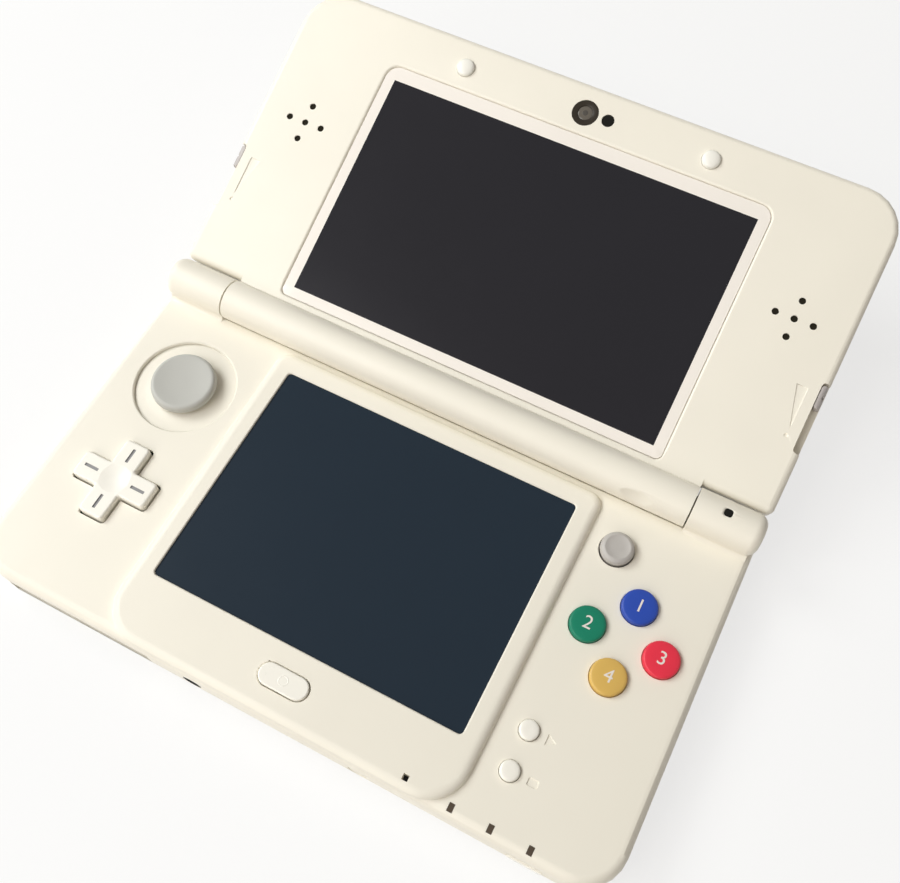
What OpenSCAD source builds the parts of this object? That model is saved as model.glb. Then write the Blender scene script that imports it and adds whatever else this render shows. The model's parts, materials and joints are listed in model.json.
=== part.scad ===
// Clamshell handheld game console, standing open on the underside of its base.
// Millimetres. X runs to the right, Y towards the hinge and Z up from the resting face.
// The lid is drawn flat in its own frame, X across, Y up the lid and Z out of its inner
// face, and on_lid() turns it about the hinge axis to where it rests open.

/* [Body] */
// Width of base and lid
body_w = 142; // [140:0.5:148]
// Depth of the closed console, front edge to the back of the hinge
body_d = 80.6; // [79.6:0.2:84]
// Height of the deck that carries the controls
deck_z = 10.7; // [10.6:0.1:12]
// Corner radius of base and lid in plan
corner_r = 9; // [6:0.5:10]
// Rounding of the deck's rim
deck_edge_r = 2; // [1:0.1:2.2]
// Thickness of the deck's skin
skin_t = 1.2; // [1:0.05:1.3]
// Thickness of the side walls
wall_t = 1.5; // [1.2:0.1:1.8]
// Height of the joint between top shell and bottom housing
parting_z = 7.5; // [7.4:0.05:7.6]
// Gap between shells that meet
seam_gap = 0.1; // [0.05:0.05:0.15]

/* [Raised screen panel] */
// Height of the panel above the deck
plateau_rise = 1.5; // [1.2:0.1:1.6]
// Width of the panel's sloping side
plateau_slope = 1.6; // [1:0.1:2]
// How far the slope's foot runs out over the deck
plateau_foot = 0.1; // [0:0.05:0.3]
// Land between the touch window and the panel's top edge
plateau_margin = 2.9; // [2.5:0.1:3.5]
// Radius of the panel's front corners
plateau_front_r = 8.5; // [6:0.5:9]
// Radius of the panel's back corners
plateau_back_r = 3; // [2:0.5:4]
// Width of the touch window
touch_w = 69.4; // [66:0.2:70]
// Depth of the touch window
touch_d = 52.3; // [50:0.1:52.5]
// Corner radius of the touch window
touch_r = 0.9; // [0.5:0.1:1.5]
// Distance of the touch window's middle from the hinge axis
touch_from_hinge = 35.9; // [35.6:0.1:36.2]
// Depth of the touch glass below the panel's top
touch_sink = 0.45; // [0.4:0.05:0.6]

/* [Hinge] */
// Radius of the hinge barrel
barrel_r = 4.5; // [4.4:0.05:4.6]
// Height of the hinge axis above the deck
hinge_rise = 2.9; // [2.8:0.05:3.2]
// Length of each end lug
lug_len = 15.1; // [14:0.1:16]
// Angle that the lid lies back from level when fully open
lid_tilt = 20.9; // [20.9:0.1:30]
// Radius of the hinge cartridge and bush
pin_r = 2.5; // [2.2:0.05:2.7]
// Radial clearance of the running fits
run_fit = 0.05; // [0.03:0.01:0.08]
// Gap between the barrel and the trough it turns in
trough_gap = 0.35; // [0.3:0.05:0.4]

/* [Lid] */
// Length of the lid from the hinge axis
lid_len = 76.1; // [75.8:0.1:79]
// Thickness of the lid
lid_t = 8; // [8:0.1:9]
// Start of the lid beside the lugs, from the hinge axis
lid_start = 5; // [4.9:0.1:5.2]
// Radius of the lid's far corners
lid_corner_r = 9.5; // [6:0.5:10]
// Rounding of the inner rim
lid_edge_r = 1.5; // [0.8:0.1:1.8]
// Width of the lens over the upper screen
lens_w = 92; // [90:0.5:94]
// Height of the lens
lens_h = 58.3; // [57:0.1:58.4]
// Distance of the lens's middle from the hinge axis
lens_mid = 35.2; // [35.2:0.1:35.6]
// Radius of the lens's far corners
lens_r = 3; // [2:0.5:4]
// Radius of the lens's corners near the hinge
lens_near_r = 1.4; // [1:0.1:3]
// Width of the opening for the upper screen
view_w = 86.9; // [84:0.1:88]
// Height of the opening for the upper screen
view_h = 52.5; // [51:0.1:53]
// Inset of the speakers from the lid's sides
speaker_inset = 12.3; // [12:0.1:12.6]
// Distance of the speakers from the hinge axis
speaker_mid = 44.2; // [44:0.1:48]
// Spacing of the sound holes
sound_pitch = 4.1; // [3.5:0.1:4.4]
// Radius of a sound hole
sound_r = 0.75; // [0.5:0.05:0.8]
// Distance between the two bumpers
bumper_pitch = 58.7; // [54:0.1:62]
// Radius of a bumper
bumper_r = 2.05; // [1.9:0.05:2.6]
// Height of a bumper above the lid's inner face
bumper_rise = 1; // [0.8:0.05:1.1]
// Distance of bumpers and inner camera from the lid's far edge
camera_inset = 6.7; // [6.5:0.1:7]
// Radius of the inner camera's window
camera_r = 2.9; // [2.6:0.05:3]
// Distance between the two outer cameras
stereo_pitch = 35; // [32:0.5:38]

/* [Edge sliders] */
// Distance of the slider slot's lower end from the hinge axis
slot_start = 18.6; // [18:0.1:20]
// Length of the slider slot
slot_len = 15.7; // [15.4:0.1:17]
// Depth of the slider slot in from the lid's side
slot_depth = 1.8; // [1.6:0.1:2]
// Length of a slider knob
knob_len = 5.1; // [4.5:0.1:5.3]
// How far a slider knob lies inside the lid's side
knob_inset = 0.3; // [0.1:0.05:0.5]

/* [Controls] */
// Inset of the circle pad from the left side
pad_inset = 17; // [16.9:0.05:17.3]
// Distance of the circle pad from the hinge axis
pad_from_hinge = 22.6; // [22.5:0.1:23.2]
// Radius of the circle pad's opening
pad_hole_r = 11.2; // [11:0.05:11.4]
// Radius of the circle pad's cap
pad_r = 7.6; // [7.2:0.05:7.7]
// Thickness of the deck's skin around the circle pad
pad_skin = 0.6; // [0.5:0.05:0.7]
// Travel of the circle pad each way
pad_travel = 2.4; // [2:0.1:2.4]
// Inset of the direction pad from the left side
cross_inset = 17.2; // [16.8:0.1:17.6]
// Distance of the direction pad from the hinge axis
cross_from_hinge = 48.5; // [48.4:0.1:49]
// Length of the direction pad, tip to tip
cross_len = 18; // [17:0.1:18.2]
// Width of the direction pad's arms
cross_w = 5.9; // [5.5:0.1:6.2]
// Corner radius of the direction pad's arms
cross_r = 0.9; // [0.5:0.1:1.2]
// Gap around the direction pad in its hole
cross_gap = 0.35; // [0.3:0.05:0.4]
// Inset of the face buttons' middle from the right side
face_inset = 16.4; // [16.3:0.05:16.6]
// Distance of the face buttons' middle from the hinge axis
face_from_hinge = 31.5; // [31.4:0.1:32]
// Distance of a face button from their middle
face_pitch = 7.8; // [7.6:0.05:7.9]
// Radius of a face button
face_r = 3.7; // [3.5:0.05:3.8]
// Height of a face button above the deck
face_rise = 1.2; // [1:0.05:1.3]
// Inset of the right stick from the right side
stick_inset = 25.2; // [25:0.1:25.6]
// Distance of the right stick from the hinge axis
stick_from_hinge = 14.5; // [14.4:0.1:14.8]
// Radius of the right stick
stick_r = 3.5; // [3.3:0.05:3.6]
// Height of the right stick above the deck
stick_rise = 2; // [1.8:0.05:2.1]
// Inset of the two small round buttons from the right side
menu_inset = 25.6; // [25:0.1:26]
// Distance of the upper small button from the hinge axis
start_from_hinge = 55.2; // [54:0.1:55.6]
// Distance of the lower small button from the hinge axis
select_from_hinge = 63.5; // [63:0.1:64.5]
// Radius of the small round buttons
menu_r = 2; // [1.8:0.05:2.1]
// Height of the small round buttons above the deck
menu_rise = 0.8; // [0.6:0.05:1]
// Travel of the buttons
key_travel = 0.7; // [0.5:0.05:0.7]
// Width of the home button
home_w = 10.7; // [10:0.1:11.5]
// Depth of the home button
home_d = 4.6; // [4.2:0.1:4.8]
// Distance of the home button from the hinge axis
home_from_hinge = 68.7; // [68.5:0.1:69]
// Height of the home button above the raised panel
home_rise = 0.5; // [0.3:0.05:0.7]
// Gap around a button in its hole
key_gap = 0.1; // [0.08:0.01:0.15]

/* [Edge parts] */
// Width of a game card
card_w = 33; // [32.5:0.1:33.4]
// Depth that a game card goes in
card_d = 35; // [34:0.1:35.2]
// Height of the game card slot
card_h = 4.2; // [4.15:0.01:4.25]
// Distance of the game card slot's middle from the left side
card_inset = 25.8; // [25:0.1:26]
// Radius of the audio socket's bore
jack_r = 1.8; // [1.78:0.01:1.9]
// Depth of the audio socket
jack_len = 14; // [13.5:0.1:14.3]
// Distance of the audio socket from the battery's left side
jack_from_battery = 7; // [6:0.1:7.5]
// Radius of the audio socket's collar
jack_collar_r = 2.1; // [2.1:0.01:2.15]
// Radius of the stylus
stylus_r = 2; // [1.8:0.05:2.05]
// Length of the stylus
stylus_len = 76; // [70:0.5:76.5]
// Distance of the stylus from the battery's right side
stylus_from_battery = 4.5; // [4.3:0.1:4.8]
// Width of the power button
power_w = 7; // [6:0.1:8]
// Inset of the power button from the right side
power_inset = 16.3; // [15.5:0.1:17]
// Inset of the status light nearest the side
light_inset = 16.3; // [16:0.1:17]
// Spacing of the status lights
light_pitch = 8.02; // [7.5:0.01:8.5]
// Distance of the status lights from the front edge
light_front = 1.1; // [0.6:0.05:1.2]
// Length of a status light
light_len = 1.65; // [1.5:0.05:2]
// Width of a status light
light_w = 1.1; // [1:0.1:1.6]
// Side of the notification light
signal_side = 1.75; // [1.6:0.05:2.3]
// Corner radius of the notification light
signal_r = 0.6; // [0.3:0.05:0.8]

/* [Shoulder buttons] */
// Height of the shoulder buttons
shoulder_h = 4.5; // [4:0.1:4.7]
// Distance of the outer button's pin from the body's side
shoulder_pin_inset = 20.1; // [19.5:0.1:20.3]
// Distance of the inner button's pin from the body's side
trigger_pin_inset = 32.1; // [31.8:0.1:32.5]
// How far the shoulder buttons stand out of the back
shoulder_proud = 0.4; // [0.2:0.1:0.6]
// Radius of the steel pins
shoulder_pin_r = 0.8; // [0.6:0.05:0.9]

/* [Power and boards] */
// Width of the battery
battery_w = 40; // [36:0.5:41]
// Depth of the battery
battery_d = 35; // [30:0.5:35]
// Thickness of the battery
battery_t = 5; // [4:0.1:5.2]
// Distance between the game card slot and the battery
battery_gap = 2.9; // [2.2:0.1:3]
// Width of a memory card
memory_w = 11; // [10.8:0.1:11.2]
// Length of a memory card
memory_l = 15; // [14.8:0.1:15.2]
// Thickness of the circuit board
board_t = 0.7; // [0.6:0.05:0.7]

/* [Hidden] */
$fn = 48;

ivory = [0.95, 0.92, 0.84];
white = [0.97, 0.96, 0.93];
grey = [0.72, 0.72, 0.71];
dark = [0.16, 0.16, 0.18];
slate = [0.17, 0.21, 0.25];
steel = [0.75, 0.76, 0.78];
board_green = [0.1, 0.35, 0.2];

// Outline of base and lid
half_w = body_w / 2;
front_y = -body_d / 2;
back_y = body_d / 2;
back_r = 3;
hinge_y = back_y - barrel_r;
hinge_z = deck_z + hinge_rise;
seam_x = half_w - lug_len;
seam_half = 0.15;
barrel_half = seam_x - seam_half;
lug_end_r = 2.2;
overlap = 0.5;
sliver = 0.01;

// Heights in the base, from the resting face up
cover_t = 1.2;
cover_rim_z = 2.2;
cover_edge_r = 2;
floor_z = 1.4;
floor_top = 2.15;
shelf_z = cover_rim_z + 0.15;
board_z = 6.95;
board_top = board_z + board_t;
deck_under = deck_z - skin_t;
plateau_z = deck_z + plateau_rise;
plateau_under = plateau_z - skin_t;
play = 0.2;

// Places of the controls
pad_x = -half_w + pad_inset;
pad_y = hinge_y - pad_from_hinge;
cross_x = -half_w + cross_inset;
cross_y = hinge_y - cross_from_hinge;
face_x = half_w - face_inset;
face_y = hinge_y - face_from_hinge;
stick_x = half_w - stick_inset;
stick_y = hinge_y - stick_from_hinge;
menu_x = half_w - menu_inset;
start_y = hinge_y - start_from_hinge;
select_y = hinge_y - select_from_hinge;
home_y = hinge_y - home_from_hinge;
touch_y = hinge_y - touch_from_hinge;

// Raised panel and its screen
plateau_half = touch_w / 2 + plateau_margin + plateau_slope;
plateau_back = hinge_y - 5.1;
touch_top = plateau_z - touch_sink;
touch_t = 1.1;
touch_lap = 1.5;
display_t = 2.4;

// Trough and the lip behind it
trough_r = barrel_r + trough_gap;
trough_floor_t = 1.2;
liner_front = hinge_y - trough_r - trough_floor_t;
lip_z = hinge_z - 4.4;

// Screws that join housing and shell, and those of the cover plate
boss_r = 2.2;
screw_r = 0.8;
head_r = 1.5;
head_t = 0.9;
screw_spots = [
    for (s = [-1, 1]) each [
        [s * (half_w - 5.2), front_y + 6.4],
        [s * (half_w - 4.2), cross_y + 5.7],
        [s * (half_w - 7), hinge_y - 6.6]
    ]
];

// Shoulder buttons
bay_z = 2.4;
bay_y = back_y - 7.9;
bay_end = half_w - trigger_pin_inset - 2.3;
shoulder_y = bay_y + 1.8;
shoulder_z = bay_z + 0.3;
shoulder_pin_y = back_y - 3.7;
knuckle_r = 1.9;
outer_pin_x = half_w - shoulder_pin_inset;
inner_pin_x = half_w - trigger_pin_inset;

// Edge parts
slot_z = 2.4;
card_x = -half_w + card_inset;
card_side = 0.8;
jack_half = 3.2;
jack_half_z = 2.2;
jack_z = board_z - 0.1 - jack_half_z;
stylus_z = 4.45;
stylus_gap = 0.12;
power_x = half_w - power_inset;
power_z = 4.7;
power_h = 2.4;
port_w = 12;
port_z = 3;
port_h = 4;
port_d = 8.6;
battery_x = card_x + card_w / 2 + card_side + battery_gap;
stylus_x = battery_x + battery_w + stylus_from_battery;
jack_x = battery_x + jack_from_battery;
screw_to_stylus = 6.1;
cover_spots = [for (x = [-25.6, stylus_x + screw_to_stylus]) [x, back_y - 7.3]];
battery_y = front_y + jack_len + 2;
memory_x = stylus_x + 7;
memory_y = battery_y + 4.1;
mic_x = 29;
window_x0 = -20;
window_x1 = -13;
window_z = 5;
window_half = 1.5;
slot_wall = 0.5;

// Circle pad, right stick and direction pad
skirt_r = pad_hole_r + pad_travel;
skirt_rim_t = 0.4;
skirt_step = 1.2;
skirt_z = deck_under - skirt_rim_t - play;
skirt_t = deck_z - pad_skin - play - skirt_z;
cup_r = 15.2;
carriage_z = 6.1;
carriage_half = 9;
carriage_d = 12;
foot_half = 3;
stick_pivot_z = board_top + 0.85;
cross_pivot_z = board_top + 0.75;

// Button mats under the keys
mat_t = 0.3;
key_base = board_top + mat_t + key_travel + 0.1;

// Lid, in its own frame
cover_floor_w = -lid_t + 1.1;
cover_rim_w = -lid_t + 2.1;
tray_w = cover_floor_w + 0.15;
tray_floor_w = tray_w + 0.75;
bezel_w = -3;
tray_top_w = bezel_w - seam_gap;
bezel_under = -skin_t;
lens_t = 0.6;
lens_pocket = 0.9;
seat_w = -1.7;
lens_frame = 2;
frame_top = lens_mid + lens_h / 2 + lens_frame;
camera_v = lid_len - camera_inset;
lamp_x = 5.36;
speaker_x = half_w - speaker_inset;
speaker_gap = 4.7;
speaker_wall = 4.3;
slider_mid = slot_start + slot_len - 0.5 - knob_len / 2;
slot_floor_x = half_w - slot_depth;
slot_r = 0.8;
knob_gap = 0.15;
slider_board_x = half_w - 6;
tab_w = -1.8;
lid_screw_spots = [
    for (s = [-1, 1]) each [[s * (half_w - 4.2), 11], [s * (half_w - 8), lid_len - 7.6]]
];
relief_x = stick_x - 0.9;
ribbon_x = -barrel_half + 16.5;
ribbon_len = 17;
ribbon_r = 2.9;
ribbon_wall = 0.6;
ribbon_room = 1.5;
relief_angle = 159 - lid_tilt;
relief_r = 11;
relief_depth = 0.65;

function arc(cx, cy, r, a0, a1, n = 6) =
    [for (i = [0:n]) [cx + r * cos(a0 + (a1 - a0) * i / n), cy + r * sin(a0 + (a1 - a0) * i / n)]];

// Rectangle with rounded corners: r0 at the two corners on y0, r1 at the two on y1
function plan(x0, x1, y0, y1, r0, r1) = concat(
    arc(x1 - r0, y0 + r0, r0, -90, 0),
    arc(x1 - r1, y1 - r1, r1, 0, 90),
    arc(x0 + r1, y1 - r1, r1, 90, 180),
    arc(x0 + r0, y0 + r0, r0, 180, 270)
);

// Outline of the base, drawn in by inset
function base_plan(inset) = plan(
    -half_w + inset, half_w - inset, front_y + inset, back_y - inset,
    max(corner_r - inset, 0.4), max(back_r - inset, 0.4)
);

// Outline of the lid beyond the lugs, drawn in by inset
function lid_plan(inset) = plan(
    -half_w + inset, half_w - inset, lid_start + inset, lid_len - inset,
    max(1.5 - inset, 0.4), max(lid_corner_r - inset, 0.4)
);

module prism(points, z0, z1) {
    translate([0, 0, z0])
        linear_extrude(z1 - z0)
            polygon(points);
}

module block(x0, x1, y0, y1, z0, z1) {
    translate([x0, y0, z0])
        cube([x1 - x0, y1 - y0, z1 - z0]);
}

// Cylinder along X, about the hinge axis
module axle(r, x0, x1) {
    translate([x0, hinge_y, hinge_z])
        rotate([0, 90, 0])
            cylinder(r = r, h = x1 - x0);
}

module on_lid() {
    translate([0, hinge_y, hinge_z])
        rotate([lid_tilt, 0, 0])
            children();
}

// Solid through a stack of outlines, each given as [points, height]
module loft(rings) {
    n = len(rings[0][0]);
    last = (len(rings) - 1) * n;
    sides = [
        for (k = [0:len(rings) - 2])
            for (i = [0:n - 1])
                let (a = k * n + i, b = k * n + (i + 1) % n)
                    each [[a, a + n, b + n], [a, b + n, b]]
    ];
    polyhedron(
        points = [for (r = rings) for (p = r[0]) [p.x, p.y, r[1]]],
        faces = concat([[for (i = [0:n - 1]) i]], sides, [[for (i = [n - 1:-1:0]) last + i]])
    );
}

// Insets and heights of the rings from z0 to z1, with a rounded foot e0 and a rounded top e1
function rounding(z0, z1, e0, e1) = concat(
    [for (a = e0 > 0 ? [0:22.5:90] : [90]) [e0 * (1 - sin(a)), z0 + e0 * (1 - cos(a))]],
    [for (a = e1 > 0 ? [90:-22.5:0] : [90]) [e1 * (1 - sin(a)), z1 - e1 * (1 - cos(a))]]
);

module rounded_base(z0, z1, e0, e1) {
    loft([for (s = rounding(z0, z1, e0, e1)) [base_plan(s.x), s.y]]);
}

module rounded_lid(z0, z1, e0, e1) {
    loft([for (s = rounding(z0, z1, e0, e1)) [lid_plan(s.x), s.y]]);
}

module bottom_cover_plate() color(ivory) {
    difference() {
        rounded_base(0, cover_rim_z, cover_edge_r, 0);
        prism(base_plan(cover_t), cover_t, cover_rim_z + overlap);
        for (p = cover_spots) {
            translate([p.x, p.y, -overlap])
                cylinder(r = head_r + play, h = cover_t + 2 * overlap);
        }
    }
}

// Bays at the back corners where the shoulder buttons swing
module shoulder_bays() {
    for (s = [0, 1])
        mirror([s, 0, 0])
            block(bay_end, half_w + overlap, bay_y, back_y + overlap, bay_z, parting_z + overlap);
}

module bottom_housing() color(ivory) {
    fence = 0.8;
    tube_half = stylus_r + 0.8;
    difference() {
        union() {
            difference() {
                union() {
                    prism(base_plan(cover_t + 0.15), floor_z, shelf_z + overlap);
                    prism(base_plan(0), shelf_z, parting_z - seam_gap / 2);
                }
                prism(base_plan(wall_t), floor_top, parting_z);
            }
            // Battery fence
            block(battery_x - 0.3 - fence, battery_x + battery_w + 0.3 + fence,
                battery_y - 0.3 - fence, battery_y + battery_d + 0.3 + fence, floor_z, board_z - play);
            // Stylus garage
            block(stylus_x - tube_half, stylus_x + tube_half, front_y + cover_t + 0.15, hinge_y + 2.2,
                floor_z, board_z - play);
            for (p = screw_spots)
                translate([p.x, p.y, floor_z])
                    cylinder(r = boss_r, h = parting_z - seam_gap / 2 - floor_z);
            for (p = cover_spots)
                translate([p.x, p.y, floor_z])
                    cylinder(r = boss_r, h = 4);
            // Walls around the shoulder bays
            for (s = [0, 1])
                mirror([s, 0, 0]) {
                    block(bay_end - wall_t, half_w - overlap, bay_y - 1.2, bay_y + overlap,
                        shelf_z, parting_z - seam_gap / 2);
                    block(bay_end - wall_t, bay_end + overlap, bay_y - 1.2, back_y - overlap,
                        shelf_z, parting_z - seam_gap / 2);
                    // Floor under the bays
                    block(bay_end - wall_t, half_w - cover_t - 2, bay_y - 1.2, back_y - cover_t - 0.5,
                        floor_z, bay_z + overlap);
                }
        }
        shoulder_bays();
        // Battery well, open below
        block(battery_x - 0.3, battery_x + battery_w + 0.3, battery_y - 0.3, battery_y + battery_d + 0.3,
            floor_z - overlap, board_z);
        translate([stylus_x, front_y - overlap, stylus_z])
            rotate([-90, 0, 0])
                cylinder(r = stylus_r + stylus_gap, h = stylus_len + 1.6);
        for (p = screw_spots)
            translate([p.x, p.y, 0]) {
                cylinder(r = screw_r + 0.15, h = parting_z + overlap);
                cylinder(r = head_r + 0.15, h = floor_z + head_t + 0.15);
            }
        for (p = cover_spots)
            translate([p.x, p.y, 0])
                cylinder(r = screw_r + run_fit, h = 5);
        for (s = [-1, 1])
            for (x = [outer_pin_x, inner_pin_x])
                translate([s * x, shoulder_pin_y, floor_z + 0.2])
                    cylinder(r = shoulder_pin_r + run_fit, h = 2);
        // Game card slot, audio socket and power button in the front wall
        block(card_x - card_w / 2 - 0.4, card_x + card_w / 2 + 0.4, front_y - overlap,
            front_y + wall_t + overlap, slot_z - 0.02, slot_z + card_h + 0.05);
        translate([jack_x, front_y - overlap, jack_z])
            rotate([-90, 0, 0])
                cylinder(r = jack_collar_r + run_fit, h = wall_t + 2 * overlap);
        block(power_x - power_w / 2 - key_gap, power_x + power_w / 2 + key_gap, front_y - overlap,
            front_y + wall_t + overlap, power_z - power_h / 2 - key_gap, power_z + power_h / 2 + key_gap);
        // Charging port and infrared window in the back wall
        block(-port_w / 2 - 0.15, port_w / 2 + 0.15, back_y - wall_t - overlap, back_y + overlap,
            port_z - 0.15, port_z + port_h + 0.15);
        block(window_x0 - key_gap, window_x1 + key_gap, back_y - wall_t - overlap, back_y + overlap,
            window_z - window_half - key_gap, window_z + window_half + key_gap);
    }
}

// Raised panel: a soft slope at the sides and the back, cut short by the front rim
module plateau() {
    run = plateau_foot + plateau_slope + 0.3;
    steps = concat([[-plateau_foot, deck_z - 1]],
        [for (a = [0:10:90]) [-plateau_foot + run * (1 - cos(a)), deck_z + sliver
            + (plateau_rise - sliver) * sin(a)]]);
    loft([
        for (s = steps)
            [plan(-plateau_half + s.x, plateau_half - s.x, front_y + 0.3 + max(s.x, 0), plateau_back - s.x,
                plateau_front_r - s.x, plateau_back_r - 0.9 * s.x), s.y]
    ]);
}

// One end lug with its rounded outer end, on the right side
module lug() {
    outer = half_w - seam_x - seam_half;
    translate([seam_x + seam_half, hinge_y, hinge_z])
        rotate([0, 90, 0])
            rotate_extrude()
                polygon(concat([[0, 0], [barrel_r, 0]],
                    arc(barrel_r - lug_end_r, outer - lug_end_r, lug_end_r, 0, 90), [[0, outer]]));
}

// Fillet between a lug and the deck in front of it, on the right side
module lug_fillet() {
    fr = 0.9;
    fz = fr - hinge_rise;
    fy = -sqrt((barrel_r + fr) * (barrel_r + fr) - fz * fz);
    a1 = atan2(-fz, -fy);
    translate([seam_x + seam_half, hinge_y, hinge_z])
        rotate([90, 0, 90])
            linear_extrude(half_w - seam_x - seam_half - 1.2)
                polygon(concat(arc(fy, fz, fr, -90, a1), [[0, 0], [0, -hinge_rise - 1], [fy, -hinge_rise - 1]]));
}

module deck_hole(x, y, r) {
    translate([x, y, parting_z])
        cylinder(r = r, h = plateau_z);
}

module cross_bars(length, width, r, z0, z1) {
    prism(plan(-length / 2, length / 2, -width / 2, width / 2, r, r), z0, z1);
    prism(plan(-width / 2, width / 2, -length / 2, length / 2, r, r), z0, z1);
}

module pill(width, depth, z0, z1) {
    block(-width / 2 + depth / 2, width / 2 - depth / 2, -depth / 2, depth / 2, z0, z1);
    for (s = [-1, 1])
        translate([s * (width / 2 - depth / 2), 0, z0])
            cylinder(r = depth / 2, h = z1 - z0);
}

module status_light_slots(gap) {
    for (i = [0:2])
        block(half_w - light_inset - i * light_pitch - light_w / 2 - gap,
            half_w - light_inset - i * light_pitch + light_w / 2 + gap,
            front_y + light_front - gap, front_y + light_front + light_len + gap, deck_under - gap, plateau_z);
}

// Window of the notification light in the right lug
module signal_window(gap, z0, z1) {
    side = signal_side / 2 + gap;
    translate([half_w - 8.3, hinge_y, hinge_z])
        prism(plan(-side, side, -side, side, signal_r, signal_r), z0, z1);
}

// Space that the circle pad's skirt sweeps, corner to corner of its travel
module skirt_room(r, z0, z1) {
    for (sx = [-1, 1])
        for (sy = [-1, 1])
            translate([sx * pad_travel, sy * pad_travel, z0])
                cylinder(r = r, h = z1 - z0);
    block(-r - pad_travel, r + pad_travel, -pad_travel, pad_travel, z0, z1);
    block(-pad_travel, pad_travel, -r - pad_travel, r + pad_travel, z0, z1);
}

module top_shell() color(ivory) {
    panel_half = touch_w / 2 + touch_lap + play;
    difference() {
        union() {
            rounded_base(parting_z + seam_gap / 2, deck_z, 0, deck_edge_r);
            plateau();
            for (s = [0, 1])
                mirror([s, 0, 0]) {
                    lug();
                    lug_fillet();
                    // The lug's back and outer side, down to the joint
                    block(seam_x + seam_half, half_w - lug_end_r, hinge_y - 1, back_y,
                        parting_z + seam_gap / 2, hinge_z);
                }
        }
        // Inside of the shell
        prism(plan(-half_w + wall_t, half_w - wall_t, front_y + wall_t, liner_front,
            corner_r - wall_t, 1), parting_z - overlap, deck_under);
        // Room for the circle pad's skirt at the end of its travel
        translate([pad_x, pad_y, 0])
            skirt_room(skirt_r + 0.1, parting_z - overlap, deck_under);
        translate([pad_x, pad_y, 0])
            skirt_room(skirt_r - skirt_step + 0.1, parting_z, deck_z - pad_skin);
        prism(plan(-plateau_half + plateau_slope + 1, plateau_half - plateau_slope - 1,
            front_y + plateau_slope + 2, liner_front - 1, plateau_front_r - 2, 1), deck_under - 1, plateau_under);
        // Seat and window of the touch panel
        block(-panel_half, panel_half, touch_y - touch_d / 2 - touch_lap - play,
            touch_y + touch_d / 2 + touch_lap + play, plateau_under - 1, touch_top + 0.05);
        prism(plan(-touch_w / 2, touch_w / 2, touch_y - touch_d / 2, touch_y + touch_d / 2, touch_r, touch_r),
            touch_top - 1, plateau_z + overlap);
        // Trough for the hinge barrel, open above and behind
        axle(trough_r, -seam_x - seam_half, seam_x + seam_half);
        block(-seam_x - seam_half, seam_x + seam_half, hinge_y, back_y + overlap, lip_z, hinge_z + barrel_r);
        for (s = [0, 1])
            mirror([s, 0, 0])
                axle(pin_r + run_fit, seam_x - 1, half_w - 5);
        // Holes for the controls
        deck_hole(pad_x, pad_y, pad_hole_r);
        translate([pad_x, pad_y, deck_z - pad_skin / 2])
            cylinder(r1 = pad_hole_r, r2 = pad_hole_r + pad_skin / 2 + sliver, h = pad_skin / 2 + sliver);
        for (a = [0:90:270])
            deck_hole(face_x + face_pitch * cos(a), face_y + face_pitch * sin(a), face_r + key_gap);
        deck_hole(stick_x, stick_y, stick_r + 2 * key_gap);
        deck_hole(menu_x, start_y, menu_r + key_gap);
        deck_hole(menu_x, select_y, menu_r + key_gap);
        translate([cross_x, cross_y, 0])
            cross_bars(cross_len + 2 * cross_gap, cross_w + 2 * cross_gap, cross_r, parting_z, plateau_z);
        translate([0, home_y, 0])
            pill(home_w + 3 * key_gap, home_d + 3 * key_gap, parting_z, plateau_z + overlap);
        // Sound hole of the microphone
        block(mic_x - 0.6, mic_x + 0.6, home_y - 5.4, home_y - 4.2, parting_z, plateau_z + overlap);
        status_light_slots(0.03);
        signal_window(0.03, barrel_r - 1.3, barrel_r + overlap);
        for (p = screw_spots)
            translate([p.x, p.y, parting_z - overlap])
                cylinder(r = screw_r + run_fit, h = deck_under - parting_z + overlap);
    }
    // Posts that take the screws
    for (p = screw_spots)
        if (p.y < liner_front - boss_r)
            translate([p.x, p.y, parting_z + seam_gap / 2])
                difference() {
                    cylinder(r = boss_r, h = deck_under - parting_z + sliver);
                    translate([0, 0, -overlap])
                        cylinder(r = screw_r + run_fit, h = deck_under - parting_z + overlap);
                }
}

module touch_panel() color(slate)
    block(-touch_w / 2 - touch_lap, touch_w / 2 + touch_lap, touch_y - touch_d / 2 - touch_lap,
        touch_y + touch_d / 2 + touch_lap, touch_top - touch_t, touch_top);

module lower_display() color(dark)
    block(-touch_w / 2 - touch_lap, touch_w / 2 + touch_lap, touch_y - touch_d / 2 - touch_lap,
        touch_y + touch_d / 2 + touch_lap, touch_top - touch_t - 0.1 - display_t, touch_top - touch_t - 0.1);

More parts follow.
